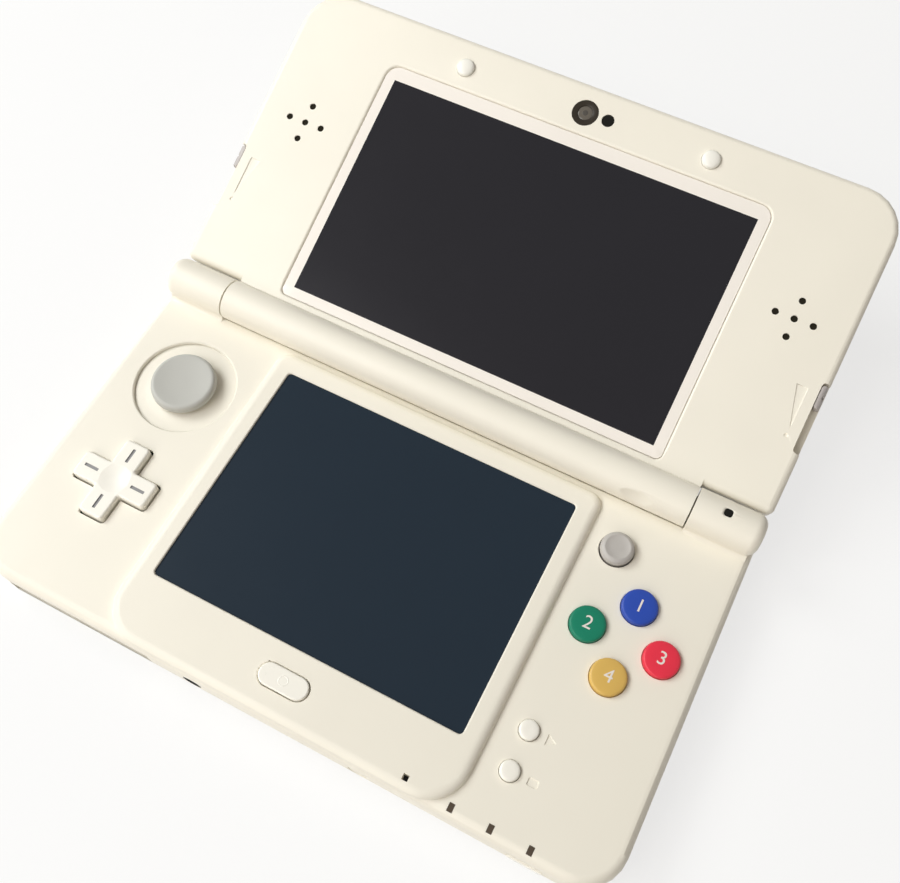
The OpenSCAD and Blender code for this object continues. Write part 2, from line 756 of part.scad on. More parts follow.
module main_board() color(board_green) {
    difference() {
        union() {
            prism([
                [cross_x - 9.8, front_y + 3.3], [half_w - 6.2, front_y + 3.3], [half_w - 3.2, front_y + 6.3],
                [half_w - 3.2, liner_front - 0.15], [pad_x + cup_r + 2, liner_front - 0.15],
                [pad_x + cup_r + 2, pad_y - cup_r - 1], [cross_x - 9.8, pad_y - cup_r - 1]
            ], board_z, board_top);
            // Shield can, processor and wireless module under the board
            block(stylus_x + 6.5, stylus_x + 26.5, 2, 20, board_z - 1.4, board_z + sliver);
            block(half_w - 21, half_w - 9, -6, 4, board_z - 1.1, board_z + sliver);
            block(battery_x + 3, battery_x + 19, battery_y + battery_d + 2.3, battery_y + battery_d + 13.3,
                board_z - 1.2, board_z + sliver);
            // Socket of the memory card
            block(memory_x - 1.5, memory_x + memory_w + 1.5, memory_y, memory_y + memory_l + 1,
                board_z - 2, board_z + sliver);
            // Switch behind the power button
            block(power_x - 1.5, power_x + 1.5, front_y + 4.2, front_y + 5.6, power_z - 1, board_z + sliver);
        }
        for (p = screw_spots)
            translate([p.x, p.y, board_z - overlap])
                cylinder(r = boss_r + 0.4, h = board_t + 2 * overlap);
        block(memory_x - 0.1, memory_x + memory_w + 0.1, memory_y - overlap, memory_y + memory_l + 0.1,
            board_z - 1.6, board_z - 0.5);
    }
}

module memory_card() color(dark)
    block(memory_x, memory_x + memory_w, memory_y, memory_y + memory_l, board_z - 1.5, board_z - 0.6);

module battery() color(grey) {
    block(battery_x, battery_x + battery_w, battery_y, battery_y + battery_d, floor_z + 0.05,
        floor_z + 0.05 + battery_t);
}

module game_card_slot() color(dark) {
    x0 = card_x - card_w / 2 - card_side + slot_wall;
    x1 = card_x + card_w / 2 + card_side - slot_wall;
    difference() {
        block(x0 - slot_wall, x1 + slot_wall, front_y + wall_t + 0.1, front_y + card_d + slot_wall,
            slot_z - 0.2, slot_z + card_h + 0.25);
        block(x0, x1, front_y, front_y + card_d, slot_z, slot_z + card_h);
    }
    // Row of contacts at the back of the slot
    for (i = [0:16])
        block(x0 + 1.4 + i * 1.85, x0 + 2.2 + i * 1.85, front_y + card_d - 3, front_y + card_d + sliver,
            slot_z + card_h - 0.12, slot_z + card_h + sliver);
}

module audio_jack() color(dark) {
    translate([jack_x, 0, jack_z])
        difference() {
            union() {
                block(-jack_half, jack_half, front_y + wall_t + 0.1, front_y + jack_len + 0.6, -jack_half_z,
                    jack_half_z);
                translate([0, front_y, 0])
                    rotate([-90, 0, 0])
                        cylinder(r = jack_collar_r, h = wall_t + 0.2);
            }
            translate([0, front_y - overlap, 0])
                rotate([-90, 0, 0])
                    cylinder(r = jack_r, h = jack_len + overlap);
        }
}

module charging_port() color(dark) {
    difference() {
        block(-port_w / 2, port_w / 2, back_y - port_d, back_y - 0.3, port_z, port_z + port_h);
        block(-port_w / 2 + 1, port_w / 2 - 1, back_y - port_d + 1.5, back_y + overlap, port_z + 0.6,
            port_z + port_h - 0.6);
    }
    // Contact tongue
    block(-3.2, 3.2, back_y - port_d + 1, back_y - 1.6, port_z + 1.6, port_z + 2.4);
}

module infrared_window() color(dark)
    block(window_x0, window_x1, back_y - wall_t - 0.1, back_y - 0.05, window_z - window_half,
        window_z + window_half);

module microphone() color(dark)
    translate([mic_x, home_y - 3.6, board_top + 0.1])
        cylinder(r = 1.9, h = deck_under - board_top - 0.15);

module status_lights() color(dark)
    intersection() {
        rounded_base(deck_under - 1, deck_z, 0, deck_edge_r);
        status_light_slots(0);
    }

module notification_light() color(dark)
    intersection() {
        axle(barrel_r - 0.05, seam_x, half_w - 2);
        signal_window(0, barrel_r - 1.25, barrel_r);
    }

// Silicone mats with a dome under each key
module control_mats() color(grey) {
    for (a = [0:90:270])
        translate([face_x + face_pitch * cos(a), face_y + face_pitch * sin(a), board_top])
            dome_mat(4.2, 1.7);
    for (y = [start_y, select_y])
        translate([menu_x, y, board_top])
            dome_mat(2.6, 0.8);
    block(face_x - 1, face_x + 1, face_y - face_pitch, face_y + face_pitch, board_top, board_top + mat_t);
    translate([0, home_y, board_top])
        cylinder(r = 2.6, h = mat_t + 0.1);
    translate([cross_x, cross_y, board_top]) {
        difference() {
            cylinder(r = 8.8, h = 0.25);
            translate([0, 0, -overlap])
                cylinder(r = 6.4, h = 2);
        }
        for (a = [0:90:270])
            rotate(a)
                translate([7.6, 0, 0])
                    cylinder(r = 1.1, h = 0.45);
    }
}

module dome_mat(r, dome_r) {
    cylinder(r = r, h = mat_t);
    cylinder(r1 = dome_r, r2 = dome_r * 0.8, h = mat_t + 0.9);
}

module circle_pad_base() color(dark)
    translate([pad_x, pad_y, 0])
        difference() {
            translate([0, 0, floor_top + 0.1])
                cylinder(r = cup_r, h = carriage_z - play - floor_top - 0.1);
            translate([0, 0, floor_top + 1.1])
                cylinder(r = cup_r - 1, h = carriage_z - play - floor_top - 1.9);
            // Guide slot of the carriage, along Y
            block(-2.1, 2.1, -carriage_half + 0.4, carriage_half - 0.4, carriage_z - 2, carriage_z);
        }

module pad_carriage() color(white)
    translate([pad_x, pad_y, 0]) {
        difference() {
            block(-carriage_half, carriage_half, -carriage_d / 2, carriage_d / 2, carriage_z, carriage_z + 1.5);
            block(-foot_half - pad_travel - 0.2, foot_half + pad_travel + 0.2, -foot_half - 0.05, foot_half + 0.05,
                carriage_z + 0.6, carriage_z + 2);
        }
        block(-2, 2, -5.8, 5.8, carriage_z - 0.8, carriage_z + sliver);
    }

module circle_pad() color(grey)
    translate([pad_x, pad_y, 0]) {
        block(-foot_half, foot_half, -foot_half, foot_half, carriage_z + 0.7, skirt_z + sliver);
        translate([0, 0, skirt_z])
            rotate_extrude()
                polygon([
                    [0, 0], [skirt_r, 0], [skirt_r, skirt_rim_t], [skirt_r - skirt_step, skirt_rim_t],
                    [skirt_r - skirt_step, skirt_t], [pad_r - 0.6, skirt_t], [pad_r - 1.6, skirt_t + 0.3],
                    [pad_r - 1.6, deck_z - skirt_z + 0.3], [pad_r, deck_z - skirt_z + 0.75],
                    [pad_r, deck_z - skirt_z + 1.15], [pad_r - 0.7, deck_z - skirt_z + 1.9],
                    [pad_r - 1.3, deck_z - skirt_z + 2.3], [pad_r - 2.2, deck_z - skirt_z + 2.25],
                    [2, deck_z - skirt_z + 1.95], [0, deck_z - skirt_z + 1.9]
                ]);
    }

module stick_sensor() color(dark)
    translate([stick_x, stick_y, board_top + 0.05])
        cylinder(r = 4.8, h = 0.5);

module stick_gimbal() color(steel)
    translate([stick_x, stick_y, stick_pivot_z - 0.2])
        cylinder(r = 1.8, h = 0.4);

module control_stick() color(grey)
    translate([stick_x, stick_y, stick_pivot_z + 0.35])
        rotate_extrude() {
            rise = deck_z + stick_rise - stick_pivot_z - 0.35;
            polygon(concat([[0, 0], [stick_r + 0.5, 0], [stick_r + 0.5, 0.3], [stick_r, 0.3]],
                arc(stick_r - 1.3, rise - 1.3, 1.3, 0, 70), [[1.2, rise], [0, rise + 0.02]]));
        }

module cross_pivot() color(steel)
    translate([cross_x, cross_y, board_top + 0.2]) {
        cylinder(r = 1.7, h = 0.35);
        cylinder(r = 0.8, h = 0.85);
    }

module direction_pad() color(white)
    translate([cross_x, cross_y, 0]) {
        top = plateau_z;
        difference() {
            union() {
                cross_bars(cross_len, cross_w, cross_r, cross_pivot_z + 0.6, top);
                translate([0, 0, cross_pivot_z - 0.05])
                    cylinder(r = 6, h = 0.5);
                translate([0, 0, cross_pivot_z - 0.05])
                    cylinder(r = 2.8, h = 1);
            }
            translate([0, 0, cross_pivot_z - 1])
                cylinder(r = 1.1, h = 1.7);
            // Shallow dish in the middle and a dash on each arm
            translate([0, 0, top + 14.6])
                sphere(r = 15);
            for (a = [0:90:270])
                rotate(a)
                    block(4.3, 7.2, -0.3, 0.3, top - 0.15, top + 1);
        }
    }

// Round key with a flange below the deck and a pocket over its dome
module key(r, flange, pocket, top) {
    rounding = 0.5;
    difference() {
        union() {
            translate([0, 0, key_base])
                rotate_extrude()
                    polygon(concat([[0, 0], [r, 0]], arc(r - rounding, top - key_base - rounding, rounding, 0, 90),
                        [[0, top - key_base]]));
            translate([0, 0, key_base])
                cylinder(r = r + flange, h = deck_under - play - key_base);
        }
        translate([0, 0, key_base - overlap])
            cylinder(r = pocket, h = overlap + 0.9);
    }
}

module face_key(angle) {
    translate([face_x + face_pitch * cos(angle), face_y + face_pitch * sin(angle), 0])
        key(face_r, 0.6, 2.1, deck_z + face_rise);
}

module top_button() color([0.18, 0.31, 0.68]) face_key(90);
module left_button() color([0.08, 0.47, 0.35]) face_key(180);
module right_button() color([0.92, 0.24, 0.3]) face_key(0);
module bottom_button() color([0.78, 0.61, 0.22]) face_key(270);

module start_button() color(white)
    translate([menu_x, start_y, 0])
        key(menu_r, 0.6, 1.1, deck_z + menu_rise);

module select_button() color(white)
    translate([menu_x, select_y, 0])
        key(menu_r, 0.6, 1.1, deck_z + menu_rise);

module home_button() color(white)
    translate([0, home_y, 0]) {
        pill(home_w, home_d, plateau_under - play - 0.6, plateau_z + home_rise);
        pill(home_w + 1.6, home_d + 1.6, plateau_under - play - 0.6, plateau_under - play);
        translate([0, 0, key_base])
            cylinder(r = 1.8, h = plateau_under - play - 0.5 - key_base);
    }

module power_button() color(white) {
    block(power_x - power_w / 2, power_x + power_w / 2, front_y - 0.3, front_y + wall_t + 0.2,
        power_z - power_h / 2, power_z + power_h / 2);
    block(power_x - power_w / 2 - 0.7, power_x + power_w / 2 + 0.7, front_y + wall_t + 0.1,
        front_y + wall_t + 0.7, power_z - power_h / 2 - 0.7, power_z + power_h / 2 + 0.7);
    block(power_x - 1, power_x + 1, front_y + wall_t + 0.6, front_y + 3.6, power_z - 0.8, power_z + 0.8);
}

// One swinging button on the right side: outline from its pin to its outer end
module swing_button(pin_x, end_x, end_r) {
    mid_z = shoulder_z + shoulder_h / 2;
    difference() {
        union() {
            prism(plan(pin_x - 0.2, end_x, shoulder_y, back_y + shoulder_proud, 0.6, end_r),
                shoulder_z, shoulder_z + shoulder_h);
            translate([pin_x, shoulder_pin_y, shoulder_z])
                cylinder(r = knuckle_r, h = shoulder_h);
        }
        translate([pin_x, shoulder_pin_y, shoulder_z - overlap])
            cylinder(r = shoulder_pin_r + run_fit, h = shoulder_h + 2 * overlap);
        // Gap between the knuckles for the spring
        translate([pin_x, shoulder_pin_y, mid_z - 0.8])
            cylinder(r = knuckle_r + 0.1, h = 1.6);
    }
}

module right_shoulder_button() color(ivory)
    swing_button(outer_pin_x, half_w - 0.1, back_r);

module left_shoulder_button() color(ivory)
    mirror([1, 0, 0])
        swing_button(outer_pin_x, half_w - 0.1, back_r);

module right_trigger() color(ivory)
    swing_button(inner_pin_x, outer_pin_x - knuckle_r - 0.5, 0.6);

module left_trigger() color(ivory)
    mirror([1, 0, 0])
        swing_button(inner_pin_x, outer_pin_x - knuckle_r - 0.5, 0.6);

module at_shoulder_pins() {
    for (s = [-1, 1])
        for (x = [outer_pin_x, inner_pin_x])
            translate([s * x, shoulder_pin_y, 0])
                children();
}

module shoulder_pins() color(steel)
    at_shoulder_pins()
        translate([0, 0, floor_z + 0.25])
            cylinder(r = shoulder_pin_r, h = parting_z - floor_z - 0.35);

module shoulder_springs() color(steel)
    at_shoulder_pins()
        translate([0, 0, shoulder_z + shoulder_h / 2 - 0.6])
            difference() {
                cylinder(r = 1.6, h = 1.2);
                translate([0, 0, -overlap])
                    cylinder(r = 1.05, h = 3);
            }

module shoulder_switches() color(dark)
    for (s = [-1, 1])
        for (x = [half_w - 5.5, outer_pin_x - 5])
            block(s * x - 1.6, s * x + 1.6, bay_y + 0.05, bay_y + 0.8, shoulder_z + 1, shoulder_z + 3.4);

module hinge_cartridge() color(steel)
    axle(pin_r, seam_x - 15.5, half_w - 5.4);

module hinge_bush() color(steel)
    difference() {
        axle(pin_r, -half_w + 5.4, -seam_x + 15.5);
        axle(pin_r - 0.8, -half_w, 0);
    }

module screw(length) {
    cylinder(r = head_r, h = head_t);
    cylinder(r = screw_r, h = length);
}

module housing_screws() color(steel)
    for (p = screw_spots)
        translate([p.x, p.y, floor_z + 0.1])
            screw(deck_under - floor_z - 0.5);

module cover_screws() color(steel)
    for (p = cover_spots)
        translate([p.x, p.y, cover_t - head_t])
            difference() {
                screw(4.2);
                block(-1, 1, -0.2, 0.2, -overlap, 0.4);
            }

module lid_bezel() color(ivory) on_lid() {
    block_in = 3.3;
    difference() {
        union() {
            difference() {
                rounded_lid(bezel_w, 0, 0, lid_edge_r);
                prism(lid_plan(wall_t), bezel_w - overlap, bezel_under);
            }
            // Frame that seats the lens
            block(-lens_w / 2 - lens_frame, lens_w / 2 + lens_frame, lid_start + 0.4, frame_top, seat_w,
                bezel_under + overlap);
            // Hinge barrel and the web that joins it to the lid
            translate([-barrel_half, 0, 0])
                rotate([0, 90, 0])
                    cylinder(r = barrel_r, h = 2 * barrel_half);
            block(-barrel_half, barrel_half, 0, lid_start + wall_t, bezel_w, 0);
            // Thick side walls that guide the sliders
            for (s = [0, 1])
                mirror([s, 0, 0])
                    block(half_w - block_in, half_w - 0.4, slot_start - 2, slot_start + slot_len + 2,
                        bezel_w, bezel_under + overlap);
            for (p = lid_screw_spots)
                translate([p.x, p.y, bezel_w])
                    cylinder(r = 2, h = -bezel_w + bezel_under + overlap);
        }
        // Lens pocket and screen opening
        prism(plan(-lens_w / 2 - 0.1, lens_w / 2 + 0.1, lens_mid - lens_h / 2 - 0.1, lens_mid + lens_h / 2 + 0.1,
            lens_near_r, lens_r), -lens_pocket, overlap);
        block(-view_w / 2 - 0.5, view_w / 2 + 0.5, lens_mid - 0.45 - view_h / 2 - 0.4,
            lens_mid - 0.45 + view_h / 2 + 0.4, seat_w - overlap, 0);
        // Bores of the barrel for cartridge, bush and ribbon
        translate([barrel_half - 16, 0, 0])
            rotate([0, 90, 0])
                cylinder(r = pin_r + run_fit, h = 17);
        translate([-barrel_half - 1, 0, 0])
            rotate([0, 90, 0])
                cylinder(r = pin_r + run_fit, h = 17);
        translate([ribbon_x - ribbon_room, 0, 0])
            rotate([0, 90, 0])
                cylinder(r = ribbon_r + 0.1, h = ribbon_len + 2 * ribbon_room);
        block(-barrel_half + 20, -barrel_half + 29, 0, lid_start + 3, -2.9, -2.2);
        // Thumb relief beside the right stick
        translate([relief_x, (barrel_r - relief_depth + relief_r) * cos(relief_angle),
                (barrel_r - relief_depth + relief_r) * sin(relief_angle)])
            sphere(r = relief_r);
        for (s = [-1, 1])
            translate([s * speaker_x, speaker_mid, bezel_w])
                for (p = [[0, 0], [1, 0], [-1, 0], [0, 1], [0, -1]])
                    translate([p.x * sound_pitch, p.y * sound_pitch, 0])
                        cylinder(r = sound_r, h = 5);
        for (s = [-1, 1])
            translate([s * bumper_pitch / 2, camera_v, 0]) {
                translate([0, 0, -0.4])
                    cylinder(r = bumper_r + 0.1, h = 2);
                translate([0, 0, bezel_w])
                    cylinder(r = 1.25, h = 4);
            }
        translate([0, camera_v, bezel_w])
            cylinder(r = camera_r + 0.08, h = 5);
        translate([lamp_x, camera_v + 0.1, bezel_w])
            cylinder(r = 1.43, h = 5);
        // Slots of the two edge sliders
        for (s = [0, 1])
            mirror([s, 0, 0]) {
                prism(plan(slot_floor_x, half_w + 2, slot_start, slot_start + slot_len, slot_r, slot_r),
                    bezel_w - overlap, overlap);
                block(half_w - block_in - 1, half_w, slot_start + 0.8, slot_start + slot_len - 0.8,
                    tab_w - 0.35, tab_w + 0.35);
            }
        for (p = lid_screw_spots)
            translate([p.x, p.y, bezel_w - overlap])
                cylinder(r = screw_r + run_fit, h = 2);
    }
}

module lid_housing() color(ivory) on_lid() {
    difference() {
        union() {
            difference() {
                union() {
                    prism(lid_plan(cover_t + 0.15), tray_w, cover_rim_w + overlap);
                    prism(lid_plan(0), cover_rim_w + 0.15, tray_top_w);
                }
                prism(lid_plan(wall_t), tray_floor_w, tray_top_w + overlap);
            }
            // Lip behind the barrel
            block(-barrel_half, barrel_half, lid_start - 1.3, lid_start + 1.5, cover_rim_w + 0.15, -barrel_r - 0.15);
            for (p = lid_screw_spots)
                translate([p.x, p.y, tray_w])
                    cylinder(r = 2, h = tray_top_w - tray_w);
        }
        for (p = lid_screw_spots)
            translate([p.x, p.y, tray_w - overlap]) {
                cylinder(r = screw_r + 0.15, h = 5);
                cylinder(r = head_r + 0.15, h = overlap + head_t + 0.2);
            }
        for (s = [-1, 1])
            translate([s * stereo_pitch / 2, camera_v - 1.9, tray_w - overlap])
                cylinder(r = 2.6, h = 3);
    }
}

module lid_cover_plate() color(ivory) on_lid() {
    difference() {
        rounded_lid(-lid_t, cover_rim_w, 2, 0);
        prism(lid_plan(cover_t), cover_floor_w, cover_rim_w + overlap);
        for (s = [-1, 1])
            translate([s * stereo_pitch / 2, camera_v - 1.9, -lid_t - overlap])
                cylinder(r = 2.6, h = 3);
    }
}

module upper_lens() color(dark) on_lid()
    prism(plan(-lens_w / 2, lens_w / 2, lens_mid - lens_h / 2, lens_mid + lens_h / 2, lens_near_r, lens_r),
        -lens_pocket + 0.02, -lens_pocket + 0.02 + lens_t);

module upper_display() color(dark) on_lid()
    block(-lens_w / 2, lens_w / 2, lid_start + 1.8, lens_mid + lens_h / 2 - 1, tray_floor_w + 0.3, seat_w - 0.1);

module speakers() color(dark) on_lid()
    for (s = [0, 1])
        mirror([s, 0, 0])
            translate([0, speaker_mid, 0]) {
                x0 = lens_w / 2 + speaker_gap;
                x1 = half_w - speaker_wall;
                block(x0, x1, -7.4, 7.4, tray_floor_w + 0.3, -2.2);
                translate([(x0 + x1) / 2, 0, -2.3])
                    cylinder(r = (x1 - x0) / 2 - 1.6, h = 0.9);
            }

module inner_camera() color(dark) on_lid()
    translate([0, camera_v, 0]) {
        difference() {
            translate([0, 0, bezel_under - 0.5])
                cylinder(r = camera_r, h = 1.6);
            translate([0, 0, -0.5])
                cylinder(r1 = 1.1, r2 = 1.7, h = 0.6);
        }
        block(-3.3, 3.3, frame_top + 0.1 - camera_v, 3.3, bezel_under - 3, bezel_under - 0.1);
    }

module infrared_lamp() color(dark) on_lid()
    translate([lamp_x, camera_v + 0.1, 0]) {
        translate([0, 0, bezel_under - 0.2])
            cylinder(r = 1.35, h = -bezel_under + 0.1);
        translate([0, 0, bezel_under - 1.1])
            cylinder(r = 1.9, h = 1);
    }

module outer_cameras() color(dark) on_lid() {
    block(-stereo_pitch / 2 - 3.3, stereo_pitch / 2 + 3.3, camera_v - 5, camera_v + 1.4, tray_floor_w + 0.1,
        tray_floor_w + 1.3);
    for (s = [-1, 1])
        translate([s * stereo_pitch / 2, camera_v - 1.9, 0])
            difference() {
                translate([0, 0, -lid_t + 0.15])
                    cylinder(r = 2.5, h = lid_t + tray_floor_w);
                translate([0, 0, -lid_t])
                    cylinder(r1 = 1.6, r2 = 1, h = 0.6);
            }
}

module lid_bumpers() color(white) on_lid()
    for (s = [-1, 1])
        translate([s * bumper_pitch / 2, camera_v, 0]) {
            translate([0, 0, -0.38])
                rotate_extrude()
                    polygon([[0, 0], [bumper_r, 0], [bumper_r, 0.75], [bumper_r - 0.25, bumper_rise + 0.02],
                        [bumper_r - 0.75, bumper_rise + 0.24], [bumper_r - 1.4, bumper_rise + 0.35],
                        [0, bumper_rise + 0.38]]);
            translate([0, 0, bezel_under - 0.4])
                cylinder(r = 1.15, h = -bezel_under + 0.1);
        }

module lid_screws() color(steel) on_lid()
    for (p = lid_screw_spots)
        translate([p.x, p.y, tray_w + 0.1])
            screw(-tray_w + bezel_w + 1);

module slider_boards() color(board_green) on_lid()
    for (s = [-1, 1])
        block(s * slider_board_x - 2, s * slider_board_x + 2, slot_start, slot_start + slot_len, bezel_w,
            tab_w - 0.6);

module display_ribbon() color([0.75, 0.5, 0.2]) on_lid() {
    difference() {
        translate([ribbon_x, 0, 0])
            rotate([0, 90, 0])
                cylinder(r = ribbon_r, h = ribbon_len);
        translate([ribbon_x - overlap, 0, 0])
            rotate([0, 90, 0])
                cylinder(r = ribbon_r - ribbon_wall, h = ribbon_len + 2 * overlap);
    }
    block(-barrel_half + 20.5, -barrel_half + 28.5, 1.2, lid_start + 1.7, -2.75, -2.45);
}

// Knob on the lid's right side with the tab that works its contact
module slider_knob() {
    groove = 0.5;
    inner = slot_floor_x + knob_gap;
    out = half_w - knob_inset;
    difference() {
        intersection() {
            translate([0, slider_mid + knob_len / 2, 0])
                rotate([90, 0, 0])
                    linear_extrude(knob_len)
                        polygon([[inner, -0.2], [out - 0.9, -0.2], [out - 0.5, -0.3], [out - 0.2, -0.6],
                            [out, -1.2], [out, bezel_w + 0.1], [inner, bezel_w + 0.1]]);
            prism(plan(inner, out + 2, slider_mid - knob_len / 2, slider_mid + knob_len / 2, slot_r - knob_gap,
                slot_r - knob_gap), bezel_w, 0);
        }
        block(out - groove, half_w + 1, slider_mid - 0.2, slider_mid + 0.2, bezel_w, 0);
    }
    block(half_w - 5.5, slot_floor_x + 0.2, slider_mid - 1.5, slider_mid + 1.5, tab_w - 0.3, tab_w + 0.3);
}

module depth_slider() color(grey) on_lid() slider_knob();
module volume_slider() color(grey) on_lid() mirror([1, 0, 0]) slider_knob();

module stylus() color(ivory)
    translate([stylus_x, front_y + 0.1, stylus_z])
        rotate([-90, 0, 0])
            difference() {
                rotate_extrude()
                    polygon([[0, 0], [stylus_r - 0.3, 0], [stylus_r, 0.3], [stylus_r, stylus_len - 9],
                        [1, stylus_len - 1], [0.5, stylus_len - 0.2], [0, stylus_len]]);
                // Finger notch under the head
                block(-3, 3, stylus_r - 0.5, 3, 1.2, 3);
            }

bottom_cover_plate();
bottom_housing();
top_shell();
touch_panel();
lower_display();
main_board();
battery();
game_card_slot();
audio_jack();
charging_port();
infrared_window();
memory_card();
microphone();
status_lights();
notification_light();
control_mats();
circle_pad_base();
stick_sensor();
shoulder_pins();
shoulder_springs();
shoulder_switches();
hinge_cartridge();
hinge_bush();
housing_screws();
cover_screws();
lid_bezel();
lid_housing();
lid_cover_plate();
upper_lens();
upper_display();
speakers();
inner_camera();
infrared_lamp();
outer_cameras();
lid_bumpers();
lid_screws();
slider_boards();
display_ribbon();
top_button();
left_button();
right_button();
bottom_button();
start_button();
select_button();
home_button();
power_button();
pad_carriage();
circle_pad();
cross_pivot();
direction_pad();
stick_gimbal();
control_stick();
left_shoulder_button();
right_shoulder_button();
left_trigger();
right_trigger();
volume_slider();
depth_slider();
stylus();
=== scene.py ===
# Clamshell handheld console standing open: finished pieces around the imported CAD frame.
# Everything is in the CAD's own frame. Pieces are written in millimetres, which MM turns into
# metres; floor, lamps and camera are written in metres.
import json
import math
import bmesh
import bpy
from mathutils import Matrix, Vector

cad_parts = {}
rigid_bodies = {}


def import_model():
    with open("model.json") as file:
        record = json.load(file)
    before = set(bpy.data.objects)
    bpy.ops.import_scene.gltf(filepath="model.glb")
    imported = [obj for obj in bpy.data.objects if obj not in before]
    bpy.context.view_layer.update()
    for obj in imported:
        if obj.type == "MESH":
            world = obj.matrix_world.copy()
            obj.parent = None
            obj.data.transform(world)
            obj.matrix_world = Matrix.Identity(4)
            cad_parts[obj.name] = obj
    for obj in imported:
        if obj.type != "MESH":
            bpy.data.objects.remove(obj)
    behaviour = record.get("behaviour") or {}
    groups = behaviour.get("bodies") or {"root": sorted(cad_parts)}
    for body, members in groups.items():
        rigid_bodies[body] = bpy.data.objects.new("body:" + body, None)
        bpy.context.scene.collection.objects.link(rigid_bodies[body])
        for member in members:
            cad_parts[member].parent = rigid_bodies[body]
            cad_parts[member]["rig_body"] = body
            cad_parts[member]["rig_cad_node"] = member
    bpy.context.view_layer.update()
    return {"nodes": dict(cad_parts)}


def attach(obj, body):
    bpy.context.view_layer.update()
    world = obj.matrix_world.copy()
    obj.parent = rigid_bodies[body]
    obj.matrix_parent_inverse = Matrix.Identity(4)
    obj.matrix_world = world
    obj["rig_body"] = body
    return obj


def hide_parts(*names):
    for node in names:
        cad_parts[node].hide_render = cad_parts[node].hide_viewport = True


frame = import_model()
nodes = frame["nodes"]
MM = 0.001

# Base in plan: half its width and depth, and the radius of its front corners
SIDE = 71.0
FRONT = 40.3
CORNER_R = 9.0
# Heights of the deck, the raised panel and the touch glass
DECK = 10.7
PANEL = 12.2
TOUCH_TOP = 11.75
# Heights of the two rims that meet between top shell and housing, and of the housing's lower rim
SHELL_RIM = 7.55
HOUSING_RIM = 7.45
HOUSING_FOOT = 2.35
# Hinge: its axis, the radius and half length of its barrel, and the lugs' ends beside it
HINGE_Y = 35.8
HINGE_Z = 13.6
BARREL_R = 4.5
BARREL_END = 55.75
LUG_END = 56.05
# The lid's own frame: x across, y up the lid, z out of its inner face
LID_TILT = math.radians(20.9)
LID = Matrix.Translation((0, HINGE_Y * MM, HINGE_Z * MM)) @ Matrix.Rotation(LID_TILT, 4, "X")
FLAT = Matrix.Identity(4)

# Middles of the controls on the base, and the size of the numerals on the face buttons
PAD = (-54.0, 13.2)
CROSS = (-53.8, -12.7)
FACE = (54.6, 4.3)
FACE_PITCH = 7.8
STICK = (45.8, 21.3)
MENU_X = 45.4
START_Y = -19.4
SELECT_Y = -27.7
HOME_Y = -32.9
NUMERAL_SIZE = 3.9
# Direction pad: half the width of its arms, their reach, and the dash on each
ARM_HALF = 2.95
ARM_REACH = 9.0
DASH_AT = 5.8
DASH_HALF = (1.65, 0.34)
# Pieces of the lid, in its frame
CAMERA_V = 69.4
LAMP_X = 5.36
BUMPER_X = 29.35
SOUND = (58.7, 44.2)
SOUND_PITCH = 4.1
LENS_X = 46.0
LENS_Y = (6.05, 64.35)
LENS_TOP = -0.28
WINDOW_X = 43.57
WINDOW_Y = (8.4, 61.1)
# Depth of the marks sunk in the deck, and of those in the lid and the direction pad
DECK_SINK = 0.2
MARK_SINK = 0.22


# Shader groups
def srgb(r, g, b):
    def linear(c):
        c /= 255
        return c / 12.92 if c <= 0.04045 else ((c + 0.055) / 1.055) ** 2.4
    return (linear(r), linear(g), linear(b), 1)


def new_group(name, inputs, outputs):
    group = bpy.data.node_groups.new(name, "ShaderNodeTree")
    for label, kind, value in inputs:
        socket = group.interface.new_socket(label, in_out="INPUT", socket_type=kind)
        socket.default_value = value
    for label, kind in outputs:
        group.interface.new_socket(label, in_out="OUTPUT", socket_type=kind)
    return group, group.nodes.new("NodeGroupInput"), group.nodes.new("NodeGroupOutput")


def scaled_noise(group, g_in, detail, rough=0.5):
    """Noise in the object's own coordinates, with its scale taken from the group's input."""
    where = group.nodes.new("ShaderNodeTexCoord")
    texture = group.nodes.new("ShaderNodeTexNoise")
    group.links.new(where.outputs["Object"], texture.inputs["Vector"])
    texture.inputs["Detail"].default_value = detail
    texture.inputs["Roughness"].default_value = rough
    group.links.new(g_in.outputs["Scale"], texture.inputs["Scale"])
    return texture


def remap(tree, source, low, high, out_low=0.0, out_high=1.0):
    node = tree.nodes.new("ShaderNodeMapRange")
    node.inputs["From Min"].default_value = low
    node.inputs["From Max"].default_value = high
    node.inputs["To Min"].default_value = out_low
    node.inputs["To Max"].default_value = out_high
    tree.links.new(source, node.inputs["Value"])
    return node.outputs["Result"]


def feed(tree, socket, value):
    """Sets a socket to a plain value, or links it to another node's output."""
    if isinstance(value, (int, float, tuple)):
        socket.default_value = value
    else:
        tree.links.new(value, socket)


def math_node(tree, operation, a, b):
    node = tree.nodes.new("ShaderNodeMath")
    node.operation = operation
    feed(tree, node.inputs[0], a)
    feed(tree, node.inputs[1], b)
    return node.outputs["Value"]


def mix_colour(tree, factor, a, b):
    node = tree.nodes.new("ShaderNodeMix")
    node.data_type = "RGBA"
    # Inputs 0, 6 and 7 are the factor and the two colours; output 2 is the mixed colour
    for index, value in ((0, factor), (6, a), (7, b)):
        feed(tree, node.inputs[index], value)
    return node.outputs[2]


def seen_directly(tree):
    """1 for rays from the camera, off a gloss or through glass, and 0 for rays that light the scene."""
    path = tree.nodes.new("ShaderNodeLightPath")
    seen = math_node(tree, "MAXIMUM", path.outputs["Is Camera Ray"], path.outputs["Is Glossy Ray"])
    return math_node(tree, "MAXIMUM", seen, path.outputs["Is Transmission Ray"])


